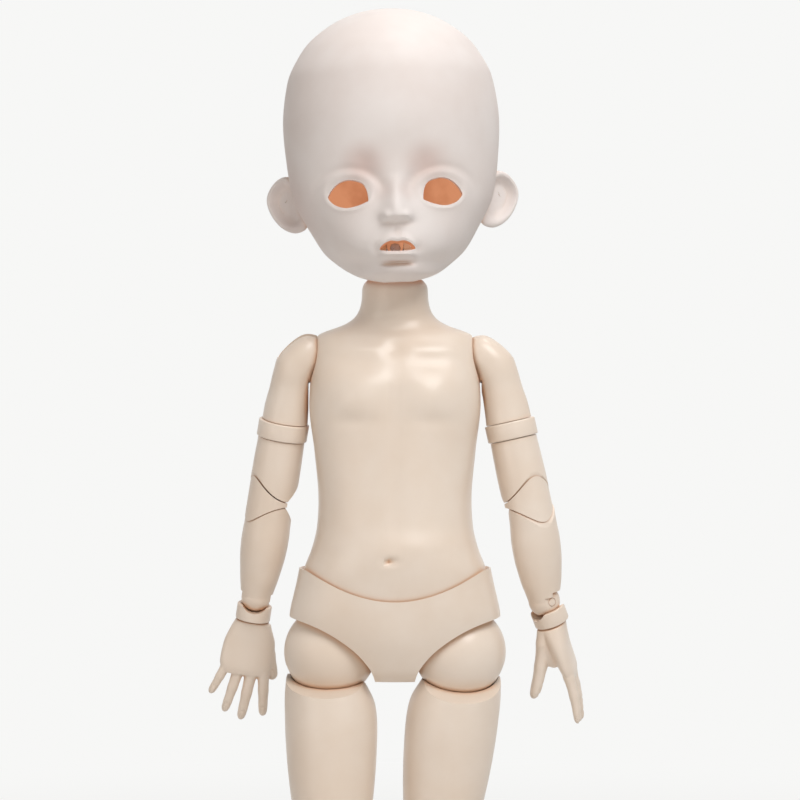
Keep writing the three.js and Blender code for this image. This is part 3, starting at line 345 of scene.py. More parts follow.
# Pelvis
HIP = Sizes(spread=16.2, ball=11.5, axle=1.5, axle_end=3, stem=1.6, cross=1.5, cross_reach=7)
PELVIS = Sizes(low=-6.9, high=20.9, half_width=26.4, front=16.6, back=16.4)
WAIST = Sizes(rise=36.8, sphere=28.1, stem=2.6)
PELVIS_SHARES = [
    (0, 0.4, 0.46, 0.55, 2.2), (0.07, 0.62, 0.62, 0.72, 2.2), (0.25, 0.9, 0.78, 0.93, 2.2),
    (0.43, 0.985, 0.89, 1, 2.3), (0.57, 1, 0.94, 1, 2.4), (0.7, 0.975, 0.97, 0.97, 2.4),
    (0.86, 0.935, 0.985, 0.93, 2.4), (1, 0.905, 1, 0.9, 2.4),
]
LEG_OPENING_SHARES = [
    (1.75, 0.94), (0.8, 0.76), (0.19, 0.565), (-0.35, 0.25), (-0.74, -0.11), (-0.97, -0.54), (-1.0, -1.3),
]


# Places across, height, reach across, reach up, rise, then front (-1) or back (1)
PELVIS_LUMPS = [
    ((0,), 2, 1.3, 7, -1.3, 1), ((-9, 9), 5, 7, 6, 0.9, 1), ((0,), 3, 8, 7, 0.7, -1),
]


def curve_through(points, count):
    """A smooth open line through points, as count points."""
    points = np.array(points, float)
    far = np.hypot(*np.diff(points, axis=0).T)
    places = np.concatenate([[0], np.cumsum(far)])
    wanted = np.linspace(0, places[-1], count)
    padded = np.concatenate([[2 * points[0] - points[1]], points, [2 * points[-1] - points[-2]]])
    k = np.clip(np.searchsorted(places, wanted, side="right") - 1, 0, len(far) - 1)
    s = ((wanted - places[k]) / far[k])[:, None]
    a, b, c, d = padded[k], padded[k + 1], padded[k + 2], padded[k + 3]
    return 0.5 * (
        2 * b + (c - a) * s + (2 * a - 5 * b + 4 * c - d) * s * s + (3 * b - a - 3 * c + d) * s**3
    )


def loop_through(points, count):
    """A smooth closed line through points."""
    points = [tuple(p) for p in points]
    return curve_through(points[-2:] + points + points[:2], count + 12)[6:-6]


def make_pelvis():
    rings = oval_rings(dense(shares(PELVIS_SHARES, PELVIS), 48), 120)
    add_lumps(rings, PELVIS_LUMPS)
    body = skin(rings)
    stem_top = WAIST.rise - WAIST.sphere
    cutters = [
        ball(WAIST.sphere + GAP, (0, 0, WAIST.rise), 128),
        rod("x", HIP.axle + GAP, HIP.spread * 2),
        rod("z", WAIST.stem + GAP, stem_top, (0, 0, stem_top / 2 + HIP.axle)),
    ]
    for side in (-1, 1):
        edge = curve_through([(x, z) for x, z in LEG_OPENING_SHARES], 40)
        outline = [(side * (HIP.spread + x * HIP.ball), z * HIP.ball) for x, z in edge]
        outline.append((side * (HIP.spread + HIP.ball * 1.75), -HIP.ball * 1.3))
        cutters.append(prism(outline, "y", -FAR, FAR))
        cutters.append(ball(HIP.ball + GAP, (side * HIP.spread, 0, 0), 96))
    return less(body, *cutters)


# Torso
TORSO = Sizes(low=-30.9, high=46.5, half_width=21.4, front=16.8, back=14.6)
TORSO_WALL = 2.4
PARTING = 1.5
NECK = Sizes(top=56.1, hollow=5.4, cap=6, post=2)
TORSO_SHARES = [
    (0, 1, 0.84, 1.02, 2.4), (0.155, 1.084, 0.96, 1.06, 2.4), (0.189, 1.063, 0.98, 1.02, 2.4),
    (0.257, 0.97, 1, 0.95, 2.3), (0.335, 0.907, 0.93, 0.88, 2.3), (0.412, 0.893, 0.9, 0.87, 2.3),
    (0.567, 0.939, 0.865, 0.91, 2.4), (0.722, 1, 0.85, 0.96, 2.6), (0.78, 0.991, 0.84, 0.96, 2.6),
    (0.86, 0.963, 0.72, 0.88, 2.6), (0.917, 0.944, 0.6, 0.77, 2.6), (0.942, 0.91, 0.54, 0.66, 2.5),
    (0.957, 0.8, 0.5, 0.6, 2.3), (0.972, 0.64, 0.48, 0.57, 2.1), (0.993, 0.5, 0.47, 0.57, 2),
    (1.02, 0.423, 0.49, 0.565, 2), (1.06, 0.388, 0.488, 0.562, 2), (1.1, 0.383, 0.488, 0.562, 2),
    (1.108, 0.372, 0.474, 0.545, 2), (1.122, 0.32, 0.405, 0.466, 2),
]
TORSO_HOLLOW_SHARES = [
    (0, 0.95, 0.9, 0.98, 2.4), (0.15, 0.97, 1, 0.98, 2.4), (0.3, 0.9, 0.95, 0.9, 2.3),
    (0.45, 0.89, 0.88, 0.87, 2.3), (0.62, 0.93, 0.86, 0.9, 2.4), (0.72, 0.82, 0.83, 0.93, 2.4),
    (0.8, 0.72, 0.8, 0.9, 2.4), (1, 0.69, 0.59, 0.72, 2.2),
]
CAVITY = changed(TORSO, low=-WAIST.sphere * 0.66, high=43.5)
STEM_HOLE = 9.6
SHOULDER = Sizes(spread=25, height=36.9, dome=7.6, hub=2, inside=10)
NAVEL = -1.2  # across, a little to the doll's right
# Places across, height, reach across, reach up, rise, then front (-1) or back (1)
TORSO_LUMPS = [
    ((-9.4, 9.4), 26.5, 6, 5.2, 1.35, -1), ((-9.4, 9.4), 20.8, 5.2, 1.7, -0.35, -1),
    ((-9.5, 9.5), 38.5, 6.5, 1.5, 0.4, -1), ((-8.5, 8.5), 35, 5, 2.2, -0.35, -1),
    ((-13, 13), 12, 4.5, 8, -0.35, -1), ((-9.5, 9.5), 27, 5.5, 8, 0.6, 1), ((0,), 27, 2, 9, -0.4, -1),
    ((0,), 38.4, 2.2, 1.8, -0.8, -1), ((0,), 5, 1.6, 11, -0.3, -1), ((0,), -13, 12, 9, 0.4, -1),
    ((0,), 12, 1.7, 26, -0.9, 1), ((NAVEL,), -13.4, 2.4, 2.2, 0.35, -1),
    ((NAVEL,), -13.4, 1.15, 0.95, -1.9, -1),
]


def make_torso():
    """The torso and neck as one shell, then its front and back halves."""
    rings = oval_rings(dense(shares(TORSO_SHARES, TORSO), 150), 144)
    add_lumps(rings, TORSO_LUMPS)
    body = skin(rings)
    width = TORSO.half_width * 3
    rounding = joined(
        ball(WAIST.sphere, (0, 0, 0), 144), between((-width, -width, 0), (width, width, FAR))
    )
    within(body, rounding)
    hollow_rows = dense(shares(TORSO_HOLLOW_SHARES, CAVITY, TORSO_WALL), 24)
    top = NECK.top - NECK.cap
    low = CAVITY.high - 6
    cutters = [
        skin(oval_rings(hollow_rows, 40)),
        rod("z", NECK.hollow, top - low, (0, 0, (top + low) / 2)),
        rod("z", NECK.post + GAP, NECK.cap * 3, (0, 0, NECK.top)),
        rod("z", STEM_HOLE, -TORSO.low, (0, 0, TORSO.low)),
    ]
    for side in (-1, 1):
        x = side * SHOULDER.spread
        cutters.append(ball(SHOULDER.dome + GAP, (x, 0, SHOULDER.height), 96))
        bore = SHOULDER.spread * 2 - SHOULDER.inside
        cutters.append(rod("x", SHOULDER.hub + GAP, bore, (x, 0, SHOULDER.height)))
    less(body, *cutters)
    back = copied(body)
    within(body, between((-FAR, -FAR, -FAR), (FAR, PARTING - GAP / 2, FAR)))
    within(back, between((-FAR, PARTING + GAP / 2, -FAR), (FAR, FAR, FAR)))
    return body, back


# Hinges with two pins
ELBOW = Sizes(
    half_width=6, half_depth=6, pin_rise=9.2, pin_front=2, end=8.4, wedge_back=-1.5,
    tip_rise=0.9, bevel_rise=4.9, strap_half=1.4, strap_front=3.4, strap_back=1.5,
    eye=2.2, pin=0.9, skin=1.5, upper_turn=37, lower_turn=57,
)
KNEE = Sizes(
    half_width=7.2, half_depth=7.4, pin_rise=11, pin_front=2.4, end=10.1, wedge_back=-1.8,
    tip_rise=1.1, bevel_rise=6, strap_half=1.7, strap_front=4, strap_back=1.8,
    eye=2.6, pin=1.1, skin=1.7, upper_turn=52, lower_turn=52,
)


def pin_place(size, fold, up):
    return (0, fold * size.pin_front, up * size.pin_rise)


def hinge_end(limb, size, fold, up):
    """Rounds a limb's end about its pin, opens it on the folding side and slots it for the strap."""
    wide = size.half_width * 3
    centre = pin_place(size, fold, up)
    kept = joined(
        rod("x", size.end, wide, centre, 120),
        between((-wide, -wide, centre[2]), (wide, wide, up * FAR)),
    )
    within(limb, kept)
    tip = (-fold * size.wedge_back, up * size.tip_rise)
    outer = fold * size.half_depth * 2
    slope = size.bevel_rise / (size.half_depth + size.wedge_back)
    rise = tip[1] + up * slope * abs(outer - tip[0])
    bevel = prism([tip, (outer, rise), (outer, -rise), (tip[0], -rise)], "x", -wide, wide)
    half = size.strap_half + GAP
    back = -fold * (size.strap_back + GAP)
    turn = math.radians(size.upper_turn if up > 0 else size.lower_turn)
    near = centre[1] + fold * (size.strap_front - size.pin_front + GAP) / math.cos(turn)
    far = near + fold * size.pin_rise * math.tan(turn)
    slot = prism([(back, 0), (back, centre[2]), (near, centre[2]), (far, 0)], "x", -half, half)
    room = rod("x", size.eye + GAP, half * 2, centre)
    hole = rod("x", size.pin + GAP, 2 * (size.half_width - size.skin + GAP), centre)
    return less(limb, bevel, slot, room, hole)


def hinge_block(size, fold):
    """A wedge with a round seat for each limb, and a strap that reaches both pins."""
    wide = size.half_width * 3
    turn = np.arange(96) / 96 * 2 * math.pi
    column = [(size.half_width * math.cos(t), size.half_depth * math.sin(t)) for t in turn]
    rise = size.pin_rise
    rings = np.array([[(x, y, z) for x, y in column] for z in np.linspace(-rise, rise, 25)])
    wedge = skin(rings)
    face = -fold * size.wedge_back
    within(wedge, between((-wide, face, -rise), (wide, -fold * wide, rise)))
    centres = [pin_place(size, fold, up) for up in (1, -1)]
    less(wedge, *[rod("x", size.end + GAP, wide, c, 120) for c in centres])
    strap = between(
        (-size.strap_half, -fold * size.strap_back, -rise),
        (size.strap_half, fold * size.strap_front, rise),
    )
    joined(wedge, strap, *[rod("x", size.eye, size.strap_half * 2, c) for c in centres])
    return less(wedge, *[rod("x", size.pin + GAP, wide, c) for c in centres])


# Arm
ARM = Sizes(dome_top=6.3, half_width=5.75, half_depth=6.1, ring_top=16.9, ring_height=4,
            ring_proud=0.25, elbow=37, tenon=2.4, tenon_reach=5)
HUB = Sizes(eye=2.2, eye_width=3.6, cross=1.1, cross_reach=4.5)
FOREARM = Sizes(wrist=25.4, half_width=6.2, half_depth=5.9)
WRIST = Sizes(ball=3.95, tongue_thick=3, tongue=2.6, stem=0.9, relief=2.4, recess=2,
              recess_rise=1.3, recess_floor=3.5, pin=0.8, pin_shown=1.01, pin_reach=3.65,
              cuff=4.4, dip=3.65, cuff_top=2.1, cuff_bottom=6, peg=1.5, peg_reach=1.2)
WRIST_SWINGS = range(-22, 54, 5)  # degrees that the stem takes up in its slot
UPPER_ARM_SHARES = [
    (0, 1, 0.95, 0.95, 2, 0.03), (0.17, 0.957, 0.93, 0.93, 2, 0), (0.38, 0.887, 0.93, 0.93, 2, 0.02),
    (0.6, 0.94, 1, 1, 2.2, 0.14), (0.69, 1.01, 1, 1, 2.2, 0.26), (0.8, 0.887, 0.95, 0.95, 2.2, 0.4),
    (0.88, 0.73, 0.85, 0.85, 2.1, 0.487), (0.96, 0.5, 0.6, 0.6, 2, 0.574), (1, 0.12, 0.1, 0.1, 2, 0.56),
]
MID_ARM_SHARES = [(0, 1, 1, 1), (0.35, 1.02, 1.01, 1.01), (0.7, 1, 1, 1), (1, 0.97, 0.98, 0.98)]
FOREARM_SHARES = [
    (0, 0.63, 0.66, 0.66), (0.06, 0.68, 0.71, 0.71), (0.12, 0.745, 0.755, 0.755), (0.17, 0.81, 0.79, 0.79),
    (0.3, 0.9, 0.88, 0.88), (0.43, 0.97, 0.96, 0.96), (0.6, 1, 1, 1), (0.81, 0.94, 0.98, 0.98),
    (1, 0.92, 0.98, 0.98),
]


def mid_top():
    return ARM.elbow - ARM.ring_top - ARM.ring_height - GAP


def make_upper_arm(side, lift):
    size = limb_size(GAP - ARM.ring_top, ARM.dome_top, ARM)
    rows = dense(shares(UPPER_ARM_SHARES, size, 0, -side), ROWS)
    limb = skin(oval_rings(rows))
    far = ARM.elbow
    dome = joined(ball(SHOULDER.dome), between((-far, -far, -far), (far, far, 0)))
    within(limb, dome)
    wall_x = SHOULDER.spread - TORSO.half_width - GAP
    wall = between((-side * wall_x, -far, -far), (-side * far, far, far))
    less(wall, ball(SHOULDER.dome))
    turned(wall, Matrix.Rotation(-math.radians(lift), 4, "Y"))
    room = HUB.eye + 2 * GAP
    half = HUB.eye_width / 2 + GAP
    slot = between((-side * far, -half, -room), (side * room, half, far))
    slot_top = between((-far, -half, -HUB.cross), (far, half, far))
    hole = rod("y", HUB.cross + GAP, 2 * (HUB.cross_reach + GAP))
    bore = rod("z", ARM.tenon + GAP, 2 * (ARM.tenon_reach + GAP), (0, 0, -ARM.ring_top))
    return less(limb, wall, slot, slot_top, hole, bore)


def make_ring():
    z = mid_top() + GAP + ARM.ring_height / 2
    radius = ARM.half_depth + ARM.ring_proud
    band = rod("z", radius, ARM.ring_height + GAP, (0, 0, z), 96, 0.35)
    return less(band, rod("z", ARM.tenon + GAP, ARM.ring_height * 2, (0, 0, z)))


def make_mid_arm():
    size = limb_size(0, mid_top(), ELBOW)
    limb = skin(oval_rings(dense(shares(MID_ARM_SHARES, size), ROWS // 2)))
    hinge_end(limb, ELBOW, -1, 1)
    low = mid_top() - ARM.tenon_reach / 2
    high = ARM.elbow - ARM.ring_top + ARM.tenon_reach
    return joined(limb, rod("z", ARM.tenon, high - low, (0, 0, (high + low) / 2)))


def wrist_slot():
    """Room for the cuff's tongue inside the ball, open below as far as its stem swings."""
    wide = WRIST.tongue_thick / 2 + GAP / 2
    half = WRIST.stem + GAP / 2
    room = rod("x", WRIST.tongue + GAP / 2, wide * 2)
    for angle in WRIST_SWINGS:
        way = between((-wide, -half, -WRIST.cuff_bottom), (wide, half, 0))
        turned(way, Matrix.Rotation(math.radians(angle), 4, "X"))
        joined(room, way)
    return room


def make_forearm(turn):
    """The forearm ends in a ball about the wrist pin, slotted for the tongue and recessed at the pin."""
    size = limb_size(-FOREARM.wrist, 0, FOREARM)
    limb = skin(oval_rings(dense(shares(FOREARM_SHARES, size), ROWS)))
    hinge_end(limb, ELBOW, -1, -1)
    joined(limb, ball(WRIST.ball, (0, 0, -FOREARM.wrist), 96))
    wide = FOREARM.half_width * 2
    relief = less(between((-wide, 0, -wide), (wide, wide, WRIST.relief)), ball(WRIST.ball, sides=96))
    cuts = [wrist_slot(), rod("x", WRIST.pin + GAP, wide, sides=32), relief]
    for side in (-1, 1):
        low = (side * WRIST.recess_floor, -WRIST.recess, -wide)
        cuts.append(between(low, (side * wide, WRIST.recess, WRIST.recess_rise)))
    for cut in cuts:
        turned(cut, Matrix.Translation((0, 0, -FOREARM.wrist)) @ Matrix.Rotation(turn, 4, "Z"))
    return less(limb, *cuts)


def make_cuff():
    """A cup for the forearm's ball, with a tongue on the pin and a bore for the hand's peg."""
    height = WRIST.cuff_bottom - WRIST.cuff_top
    cuff = rod("z", WRIST.cuff, height, (0, 0, -WRIST.cuff_top - height / 2), 96, 0.3)
    dip = rod("y", WRIST.dip, WRIST.cuff * 3, sides=96)
    less(cuff, ball(WRIST.ball + GAP / 2, sides=96), dip)
    half = WRIST.tongue_thick / 2
    floor = -WRIST.ball - 2 * GAP
    stem = between((-half, -WRIST.stem, floor), (half, WRIST.stem, 0))
    joined(cuff, stem, rod("x", WRIST.tongue, half * 2))
    bore = rod("z", WRIST.peg + GAP, 2 * (WRIST.peg_reach + GAP), (0, 0, -WRIST.cuff_bottom))
    return less(cuff, bore, rod("x", WRIST.pin + GAP, WRIST.cuff * 4, sides=32))


def make_wrist_pin():
    return rod("x", WRIST.pin_shown, WRIST.pin_reach * 2, sides=32, rounding=0.2)


# Hand
HAND = Sizes(length=14.6, half_width=6.4, half_depth=2.2, finger=1.55, tip=1.05)
HAND_TURN = {"right": 6, "left": 140}  # degrees from the wrist pin to the width of the hand
PALM_SHARES = [
    (0, 0.9, 0.7, 0.7, 2.3), (0.22, 1.05, 0.95, 0.95, 2.3), (0.55, 1, 1.1, 1.25, 2.2),
    (0.8, 0.84, 1.35, 1.6, 2.1), (1, 0.66, 1.6, 1.8, 2),
]
# Root and tip as shares of the palm's half width, half width and length, then the thickness
FINGER_SHARES = [
    ((0.76, 0, -0.93), (1.02, 0.02, -1.75), 1), ((0.27, 0, -0.97), (0.15, 0.02, -1.87), 1.02),
    ((-0.25, 0, -0.94), (-0.55, 0.02, -1.76), 0.97), ((-0.74, 0, -0.85), (-1.22, 0.02, -1.45), 0.86),
]
THUMB_SHARES = {
    "right": ((0.6, 0.05, -0.3), (1.21, 0.1, -1.08), 1.35),
    "left": ((0.3, 0.56, -0.28), (0.62, 1.4, -1.15), 1.34),
}
MOUNDS = {  # middle as shares of the half width, half width and length, and radius with squash
    "right": ((0.74, 0.05, -0.52), 2.1, (1, 0.9, 2.2)),
    "left": ((0.34, 0.44, -0.46), 2.2, (0.9, 1.1, 2)),
}
# Shares of a finger: its domed end, its bend, and its knuckles as place and swelling
FINGER = Sizes(dome=0.14, bend=0.12, knuckles=((0.0, 0.06), (0.42, 0.07), (0.74, 0.05)))
NAIL = Sizes(back=1.5, long=1.35, wide=0.85, rim=0.22, depth=0.16, reach=3)
VOXEL = 0.24  # of the skins that are melted together


def finger(root, tip, thick):
    """A finger from root to tip, a little fuller at its two knuckles, with a domed end."""
    root, tip = np.array(root, float), np.array(tip, float)
    along = (tip - root) / np.linalg.norm(tip - root)
    length = np.linalg.norm(tip - root)
    across = np.cross(along, (0, 1, 0))
    across /= np.linalg.norm(across)
    thickness = np.cross(across, along)
    dome = 1 - FINGER.dome
    end = 1 - FINGER.dome * (1 - np.sin(np.linspace(0, math.pi / 2, 9)[1:]))
    t = np.concatenate([np.linspace(-0.25, dome, 22), end])
    width = thick * (HAND.finger + (HAND.tip - HAND.finger) * np.clip(t, 0, 1))
    for knuckle, swell in FINGER.knuckles:
        width = width * (1 + swell * np.exp(-(((t - knuckle) / 0.07) ** 2)))
    cap = np.clip((t - dome) / FINGER.dome, 0, 1)
    width = width * np.sqrt(np.maximum(1 - cap**2, 0.0016))
    turn = np.arange(28) / 28 * 2 * math.pi
    bend = length * np.clip(t, 0, 1) ** 2 * FINGER.bend
    middle = root + t[:, None] * (tip - root) + bend[:, None] * np.array([0, 1, 0])
    ring = np.cos(turn)[:, None] * across + 0.92 * np.sin(turn)[:, None] * thickness
    rings = middle[:, None, :] + width[:, None, None] * ring[None]
    return skin(rings)


def melted(obj, voxel, rounds):
    """One smooth skin over an object's solids, which may overlap."""
    step = obj.modifiers.new("melt", "REMESH")
    step.mode = "VOXEL"
    step.voxel_size = voxel
    soft = obj.modifiers.new("soften", "SMOOTH")
    soft.factor = 0.5
    soft.iterations = rounds
    settle(obj)
    return obj


def make_hand(side):
    size = limb_size(-HAND.length, -GAP, HAND)
    rings = oval_rings(dense(shares(PALM_SHARES, size), 44), 64)
    for root, _, _ in FINGER_SHARES:
        x = -side * root[0] * HAND.half_width
        add_lump(rings, (x, -2, -HAND.length * 0.9), (1.4, 2, 1.6), 0.25, (0, -1, 0))
    palm = skin(rings)
    fingers = []
    half, length = HAND.half_width, HAND.length
    word = "right" if side < 0 else "left"
    for root, tip, thick in FINGER_SHARES + [THUMB_SHARES[word]]:
        ends = [(-side * x * half, y * half, z * length) for x, y, z in (root, tip)]
        fingers.append(finger(*ends, thick))
    middle, radius, squash = MOUNDS[word]
    mound = ball(radius, (-side * middle[0] * half, middle[1] * half, middle[2] * length), 32, squash)
    joined(palm, mound, *fingers)
    melted(palm, VOXEL, 6)
    add_nails(palm, side, word)
    within(palm, between((-FAR, -FAR, -FAR), (FAR, FAR, -GAP)))
    return joined(palm, rod("z", WRIST.peg, WRIST.peg_reach * 2))


def add_nails(palm, side, word):
    """Presses a shallow nail into the back of each finger tip."""
    half, length = HAND.half_width, HAND.length
    mesh = palm.data
    points = np.array([v.co for v in mesh.vertices])
    normals = np.array([v.normal for v in mesh.vertices])
    for root, tip, thick in FINGER_SHARES + [THUMB_SHARES[word]]:
        root, tip = [np.array((-side * x * half, y * half, z * length)) for x, y, z in (root, tip)]
        along = (tip - root) / np.linalg.norm(tip - root)
        middle = tip - along * NAIL.back * thick
        away = points - middle
        run = away @ along
        across = np.cross(along, (0, 1, 0))
        side_run = away @ (across / np.linalg.norm(across))
        far = (run / NAIL.long) ** 2 + (side_run / NAIL.wide) ** 2
        back = (normals[:, 1] < -0.25) & (np.linalg.norm(away, axis=1) < NAIL.reach)
        rim = np.exp(-(((np.sqrt(far) - 1) / NAIL.rim) ** 2))
        points[back] -= normals[back] * (NAIL.depth * rim[back])[:, None]
    mesh.vertices.foreach_set("co", points.ravel())
    mesh.update()


# Leg
THIGH = Sizes(length=69.5, half_width=11.5, half_depth=12,
              rim_drop=5.4, notch_back=2, notch_drop=14.5, notch_over=6)
STEM = Sizes(length=24, flange=2.6, flange_thick=1.8)
SHIN = Sizes(length=55.8, half_width=7.8, half_depth=8.4, end=2.4)
ANKLE = Sizes(height=15, ball=4.2)
FOOT = Sizes(half_width=6, toe=27, heel=9.5, height=12.2)
THIGH_SHARES = [
    (0, 0.626, 0.62, 0.62), (0.09, 0.62, 0.62, 0.62), (0.2, 0.66, 0.66, 0.68), (0.36, 0.765, 0.78, 0.79),
    (0.52, 0.887, 0.88, 0.9), (0.66, 0.965, 0.95, 0.97), (0.8, 1, 1, 1.02), (0.88, 0.985, 1, 1.02, 2, 0.02),
    (0.94, 0.9, 0.98, 1, 2, 0.09), (1, 0.79, 0.93, 0.96, 2, 0.16),
]
SHIN_SHARES = [
    (0, 0.62, 0.56, 0.56), (0.2, 0.66, 0.56, 0.62), (0.4, 0.8, 0.68, 0.8), (0.6, 0.96, 0.8, 0.97),
    (0.76, 1, 0.84, 1), (0.88, 0.96, 0.86, 0.94), (1, 0.91, 0.86, 0.88),
]
FOOT_SHARES = [
    (0, 0.92, 0.95, 0.9, 2.4), (0.06, 0.98, 1, 0.97, 2.4), (0.28, 1, 0.97, 1, 2.3),
    (0.46, 0.95, 0.74, 0.97, 2.2), (0.7, 0.87, 0.42, 0.85, 2), (1, 0.82, 0.2, 0.58, 2),
]
# Place across, reach to the front and radius of each toe
TOES = [(-3.348, 25.3, 2), (-0.465, 25.6, 1.5), (1.674, 24.4, 1.4), (3.441, 22.6, 1.3), (4.65, 20.3, 1.15)]
TOE_SQUASH = (0.95, 1.7, 0.92)
HIP_SLOT_SHARES = [(-0.19, 0.19), (0.21, 0.19), (1.1, -0.42), (1.1, -1.3), (-0.45, -1.3), (-0.2, 0)]


def make_hip_ball(side):
    half = HIP.stem + GAP
    slot = [(side * x * HIP.ball, z * HIP.ball) for x, z in HIP_SLOT_SHARES]
    reach = HIP.spread * 2
    bore_x = -side * (reach / 2 + HIP.axle_end - GAP)
    return less(
        ball(HIP.ball, sides=96),
        prism(slot, "y", -half, half),
        rod("x", HIP.axle + GAP, reach, (bore_x, 0, 0)),
        rod("y", HIP.cross + GAP, 2 * (HIP.cross_reach + GAP)),
    )


def make_thigh(side):
    size = limb_size(0, THIGH.length - THIGH.rim_drop, THIGH)
    limb = skin(oval_rings(dense(shares(THIGH_SHARES, size, 0, side), ROWS), 96))
    hinge_end(limb, KNEE, 1, 1)
    front = -THIGH.half_depth - THIGH.notch_over
    length = THIGH.length
    top = length + THIGH.notch_over
    back = THIGH.notch_back
    notch = [(back, size.high), (front, length - THIGH.notch_drop), (front, top), (back, top)]
    bore = STEM.length - STEM.flange_thick
    pocket = STEM.flange_thick + 2 * GAP
    return less(
        limb,
        ball(HIP.ball + GAP, (0, 0, length), 96),
        prism(notch, "x", front, -front),
        rod("z", HIP.stem + GAP, bore, (0, 0, length - bore / 2)),
        rod("z", STEM.flange + GAP, pocket, (0, 0, length - STEM.length - GAP + pocket / 2)),
    )


def make_shin():
    size = limb_size(SHIN.end - SHIN.length, 0, SHIN)
    rings = oval_rings(dense(shares(SHIN_SHARES, size), ROWS))
    for side in (-1, 1):
        add_lump(rings, (side * 4.6, 0.5, size.low + 3.2), (2, 2.4, 2.2), 0.6, (side, 0, 0))
    limb = skin(rings)
    hinge_end(limb, KNEE, 1, -1)
    return less(limb, ball(ANKLE.ball + GAP, (0, 0, -SHIN.length), 64))


def make_foot(side):
    base = -ANKLE.height
    top = FOOT.height + base
    size = Sizes(low=base, high=top, half_width=FOOT.half_width, front=FOOT.toe, back=FOOT.heel)
    rings = oval_rings(dense(shares(FOOT_SHARES, size), 40), 96)
    add_lump(rings, (side * -1.5, -12, -9), (5, 9, 5), -0.5, (side * -1, 0, 0))
    foot = skin(rings)
    for across, reach, radius in TOES:
        middle = (side * across, radius - reach, base + radius * TOE_SQUASH[2])
        joined(foot, ball(radius, middle, 32, TOE_SQUASH))
    melted(foot, 0.3, 5)
    within(foot, between((-FAR, -FAR, base), (FAR, FAR, FAR)))
    return less(foot, ball(ANKLE.ball + GAP, sides=64))


# Head
HEAD = Sizes(low=-8.8, high=60, half_width=27, front=27.5, back=29.5)
HEAD_LEAN = -1.8  # degrees towards the doll's right shoulder
HEAD_WALL = 2.6
CAP_PLANE = 10
NECK_OPENING = Sizes(radius=10.4, top=2)
HEAD_SHARES = [
    (0, 0.17, 0.18, 0.22, 2, 0, -0.527), (0.019, 0.333, 0.345, 0.475, 2, 0, -0.436),
    (0.078, 0.544, 0.873, 0.475, 2.1), (0.112, 0.641, 0.909, 0.61, 2.2), (0.195, 0.774, 0.938, 0.763, 2.2),
    (0.244, 0.844, 0.945, 0.83, 2.2), (0.302, 0.915, 0.93, 0.88, 2.2), (0.433, 0.974, 0.96, 0.963, 2.1),
    (0.578, 1, 1, 1, 2), (0.738, 0.948, 0.945, 0.949, 2), (0.83, 0.837, 0.829, 0.847, 2),
    (0.874, 0.756, 0.727, 0.763, 2), (0.917, 0.63, 0.604, 0.644, 2), (0.961, 0.444, 0.418, 0.475, 2),
    (0.988, 0.24, 0.218, 0.271, 2), (1, 0.02, 0.02, 0.02, 2),
]
HEAD_HOLLOW_SHARES = [
    (0, 0.45, 0.72, 0.4, 2.1), (0.1, 0.74, 0.84, 0.72, 2.2), (0.22, 0.9, 0.87, 0.86, 2.2),
    (0.42, 0.98, 0.93, 0.98, 2), (0.6, 0.98, 0.97, 0.98, 2), (0.76, 0.87, 0.87, 0.88, 2),
    (0.88, 0.68, 0.66, 0.7, 2), (1, 0.3, 0.28, 0.32, 2),
]
EYE = Sizes(spread=11.4, height=12.2)
# Edge of an eye opening from its middle: away from the nose, then up
EYE_EDGE = [
    (-4.8, -1.9), (-4.7, -0.2), (-4.3, 1.2), (-3.6, 2.3), (-2.2, 3.0), (0, 3.4), (2.1, 2.8),
    (3.8, 1.35), (4.65, 0), (4.85, -0.65), (4.3, -1.55), (3.1, -2.6), (1.4, -3.27),
    (-0.25, -3.4), (-2.65, -2.9), (-4.3, -2.25),
]
MOUTH_EDGE = [
    (-4.3, -1.5), (-3.3, -0.35), (-1.7, 0.35), (0, 0.2), (1.7, 0.35), (3.3, -0.35), (4.3, -1.5),
    (3.2, -1.9), (1.6, -2.05), (0, -2.1), (-1.6, -2.05), (-3.2, -1.9),
]
EAR = Sizes(root=25.6, back=3, height=12.2, angle=52, thick=1.5)
# Soft forms of the face: rise, place from the middle, reach across, height, reach up, sharpness across
FACE_FORMS = [
    (-0.5, 7.2, 2.4, 19.9, 2.4, 2), (-0.35, 5.4, 2.4, 17.2, 2.4, 2), (-0.35, 4.3, 2.4, 14.4, 2.4, 2),
    (1.5, 0, 8.5, -1, 6, 2), (-0.4, 0, 0.95, 2.8, 1.4, 2), (1.9, 0, 4, -3, 0.85, 4),
    (-1.5, 0, 4.2, -4.7, 0.8, 4), (-0.7, 5.1, 1.1, -1.6, 1.4, 2), (1.1, 0, 4.8, -7, 2, 2),
    (0.9, 14, 6, 0.4, 5.2, 2), (-0.4, 0, 7, 21, 4.5, 2),
]
# Edge of an ear from the middle of its root: away from the head, then up
EAR_REACH_SHARES = [0.02, 0.12, 0.25, 0.38, 0.5, 0.6, 0.68, 0.75, 0.81, 0.86, 0.9, 0.94, 0.97, 0.99, 1]
EAR_EDGE = [
    (0.8, 6.9), (3.1, 6.6), (5.1, 5.3), (6.7, 3.2), (7.2, 1.0), (6.5, -1.4), (5.1, -3.7),
    (3.1, -5.7), (0.7, -7.0), (-1.8, -7.4), (-4.4, -6.4), (-5.6, -3.0), (-4.0, 1.5), (-1.8, 5.4),
]


def bump(value, middle, reach, power=2):
    return np.exp(-(np.abs((value - middle) / reach) ** power))


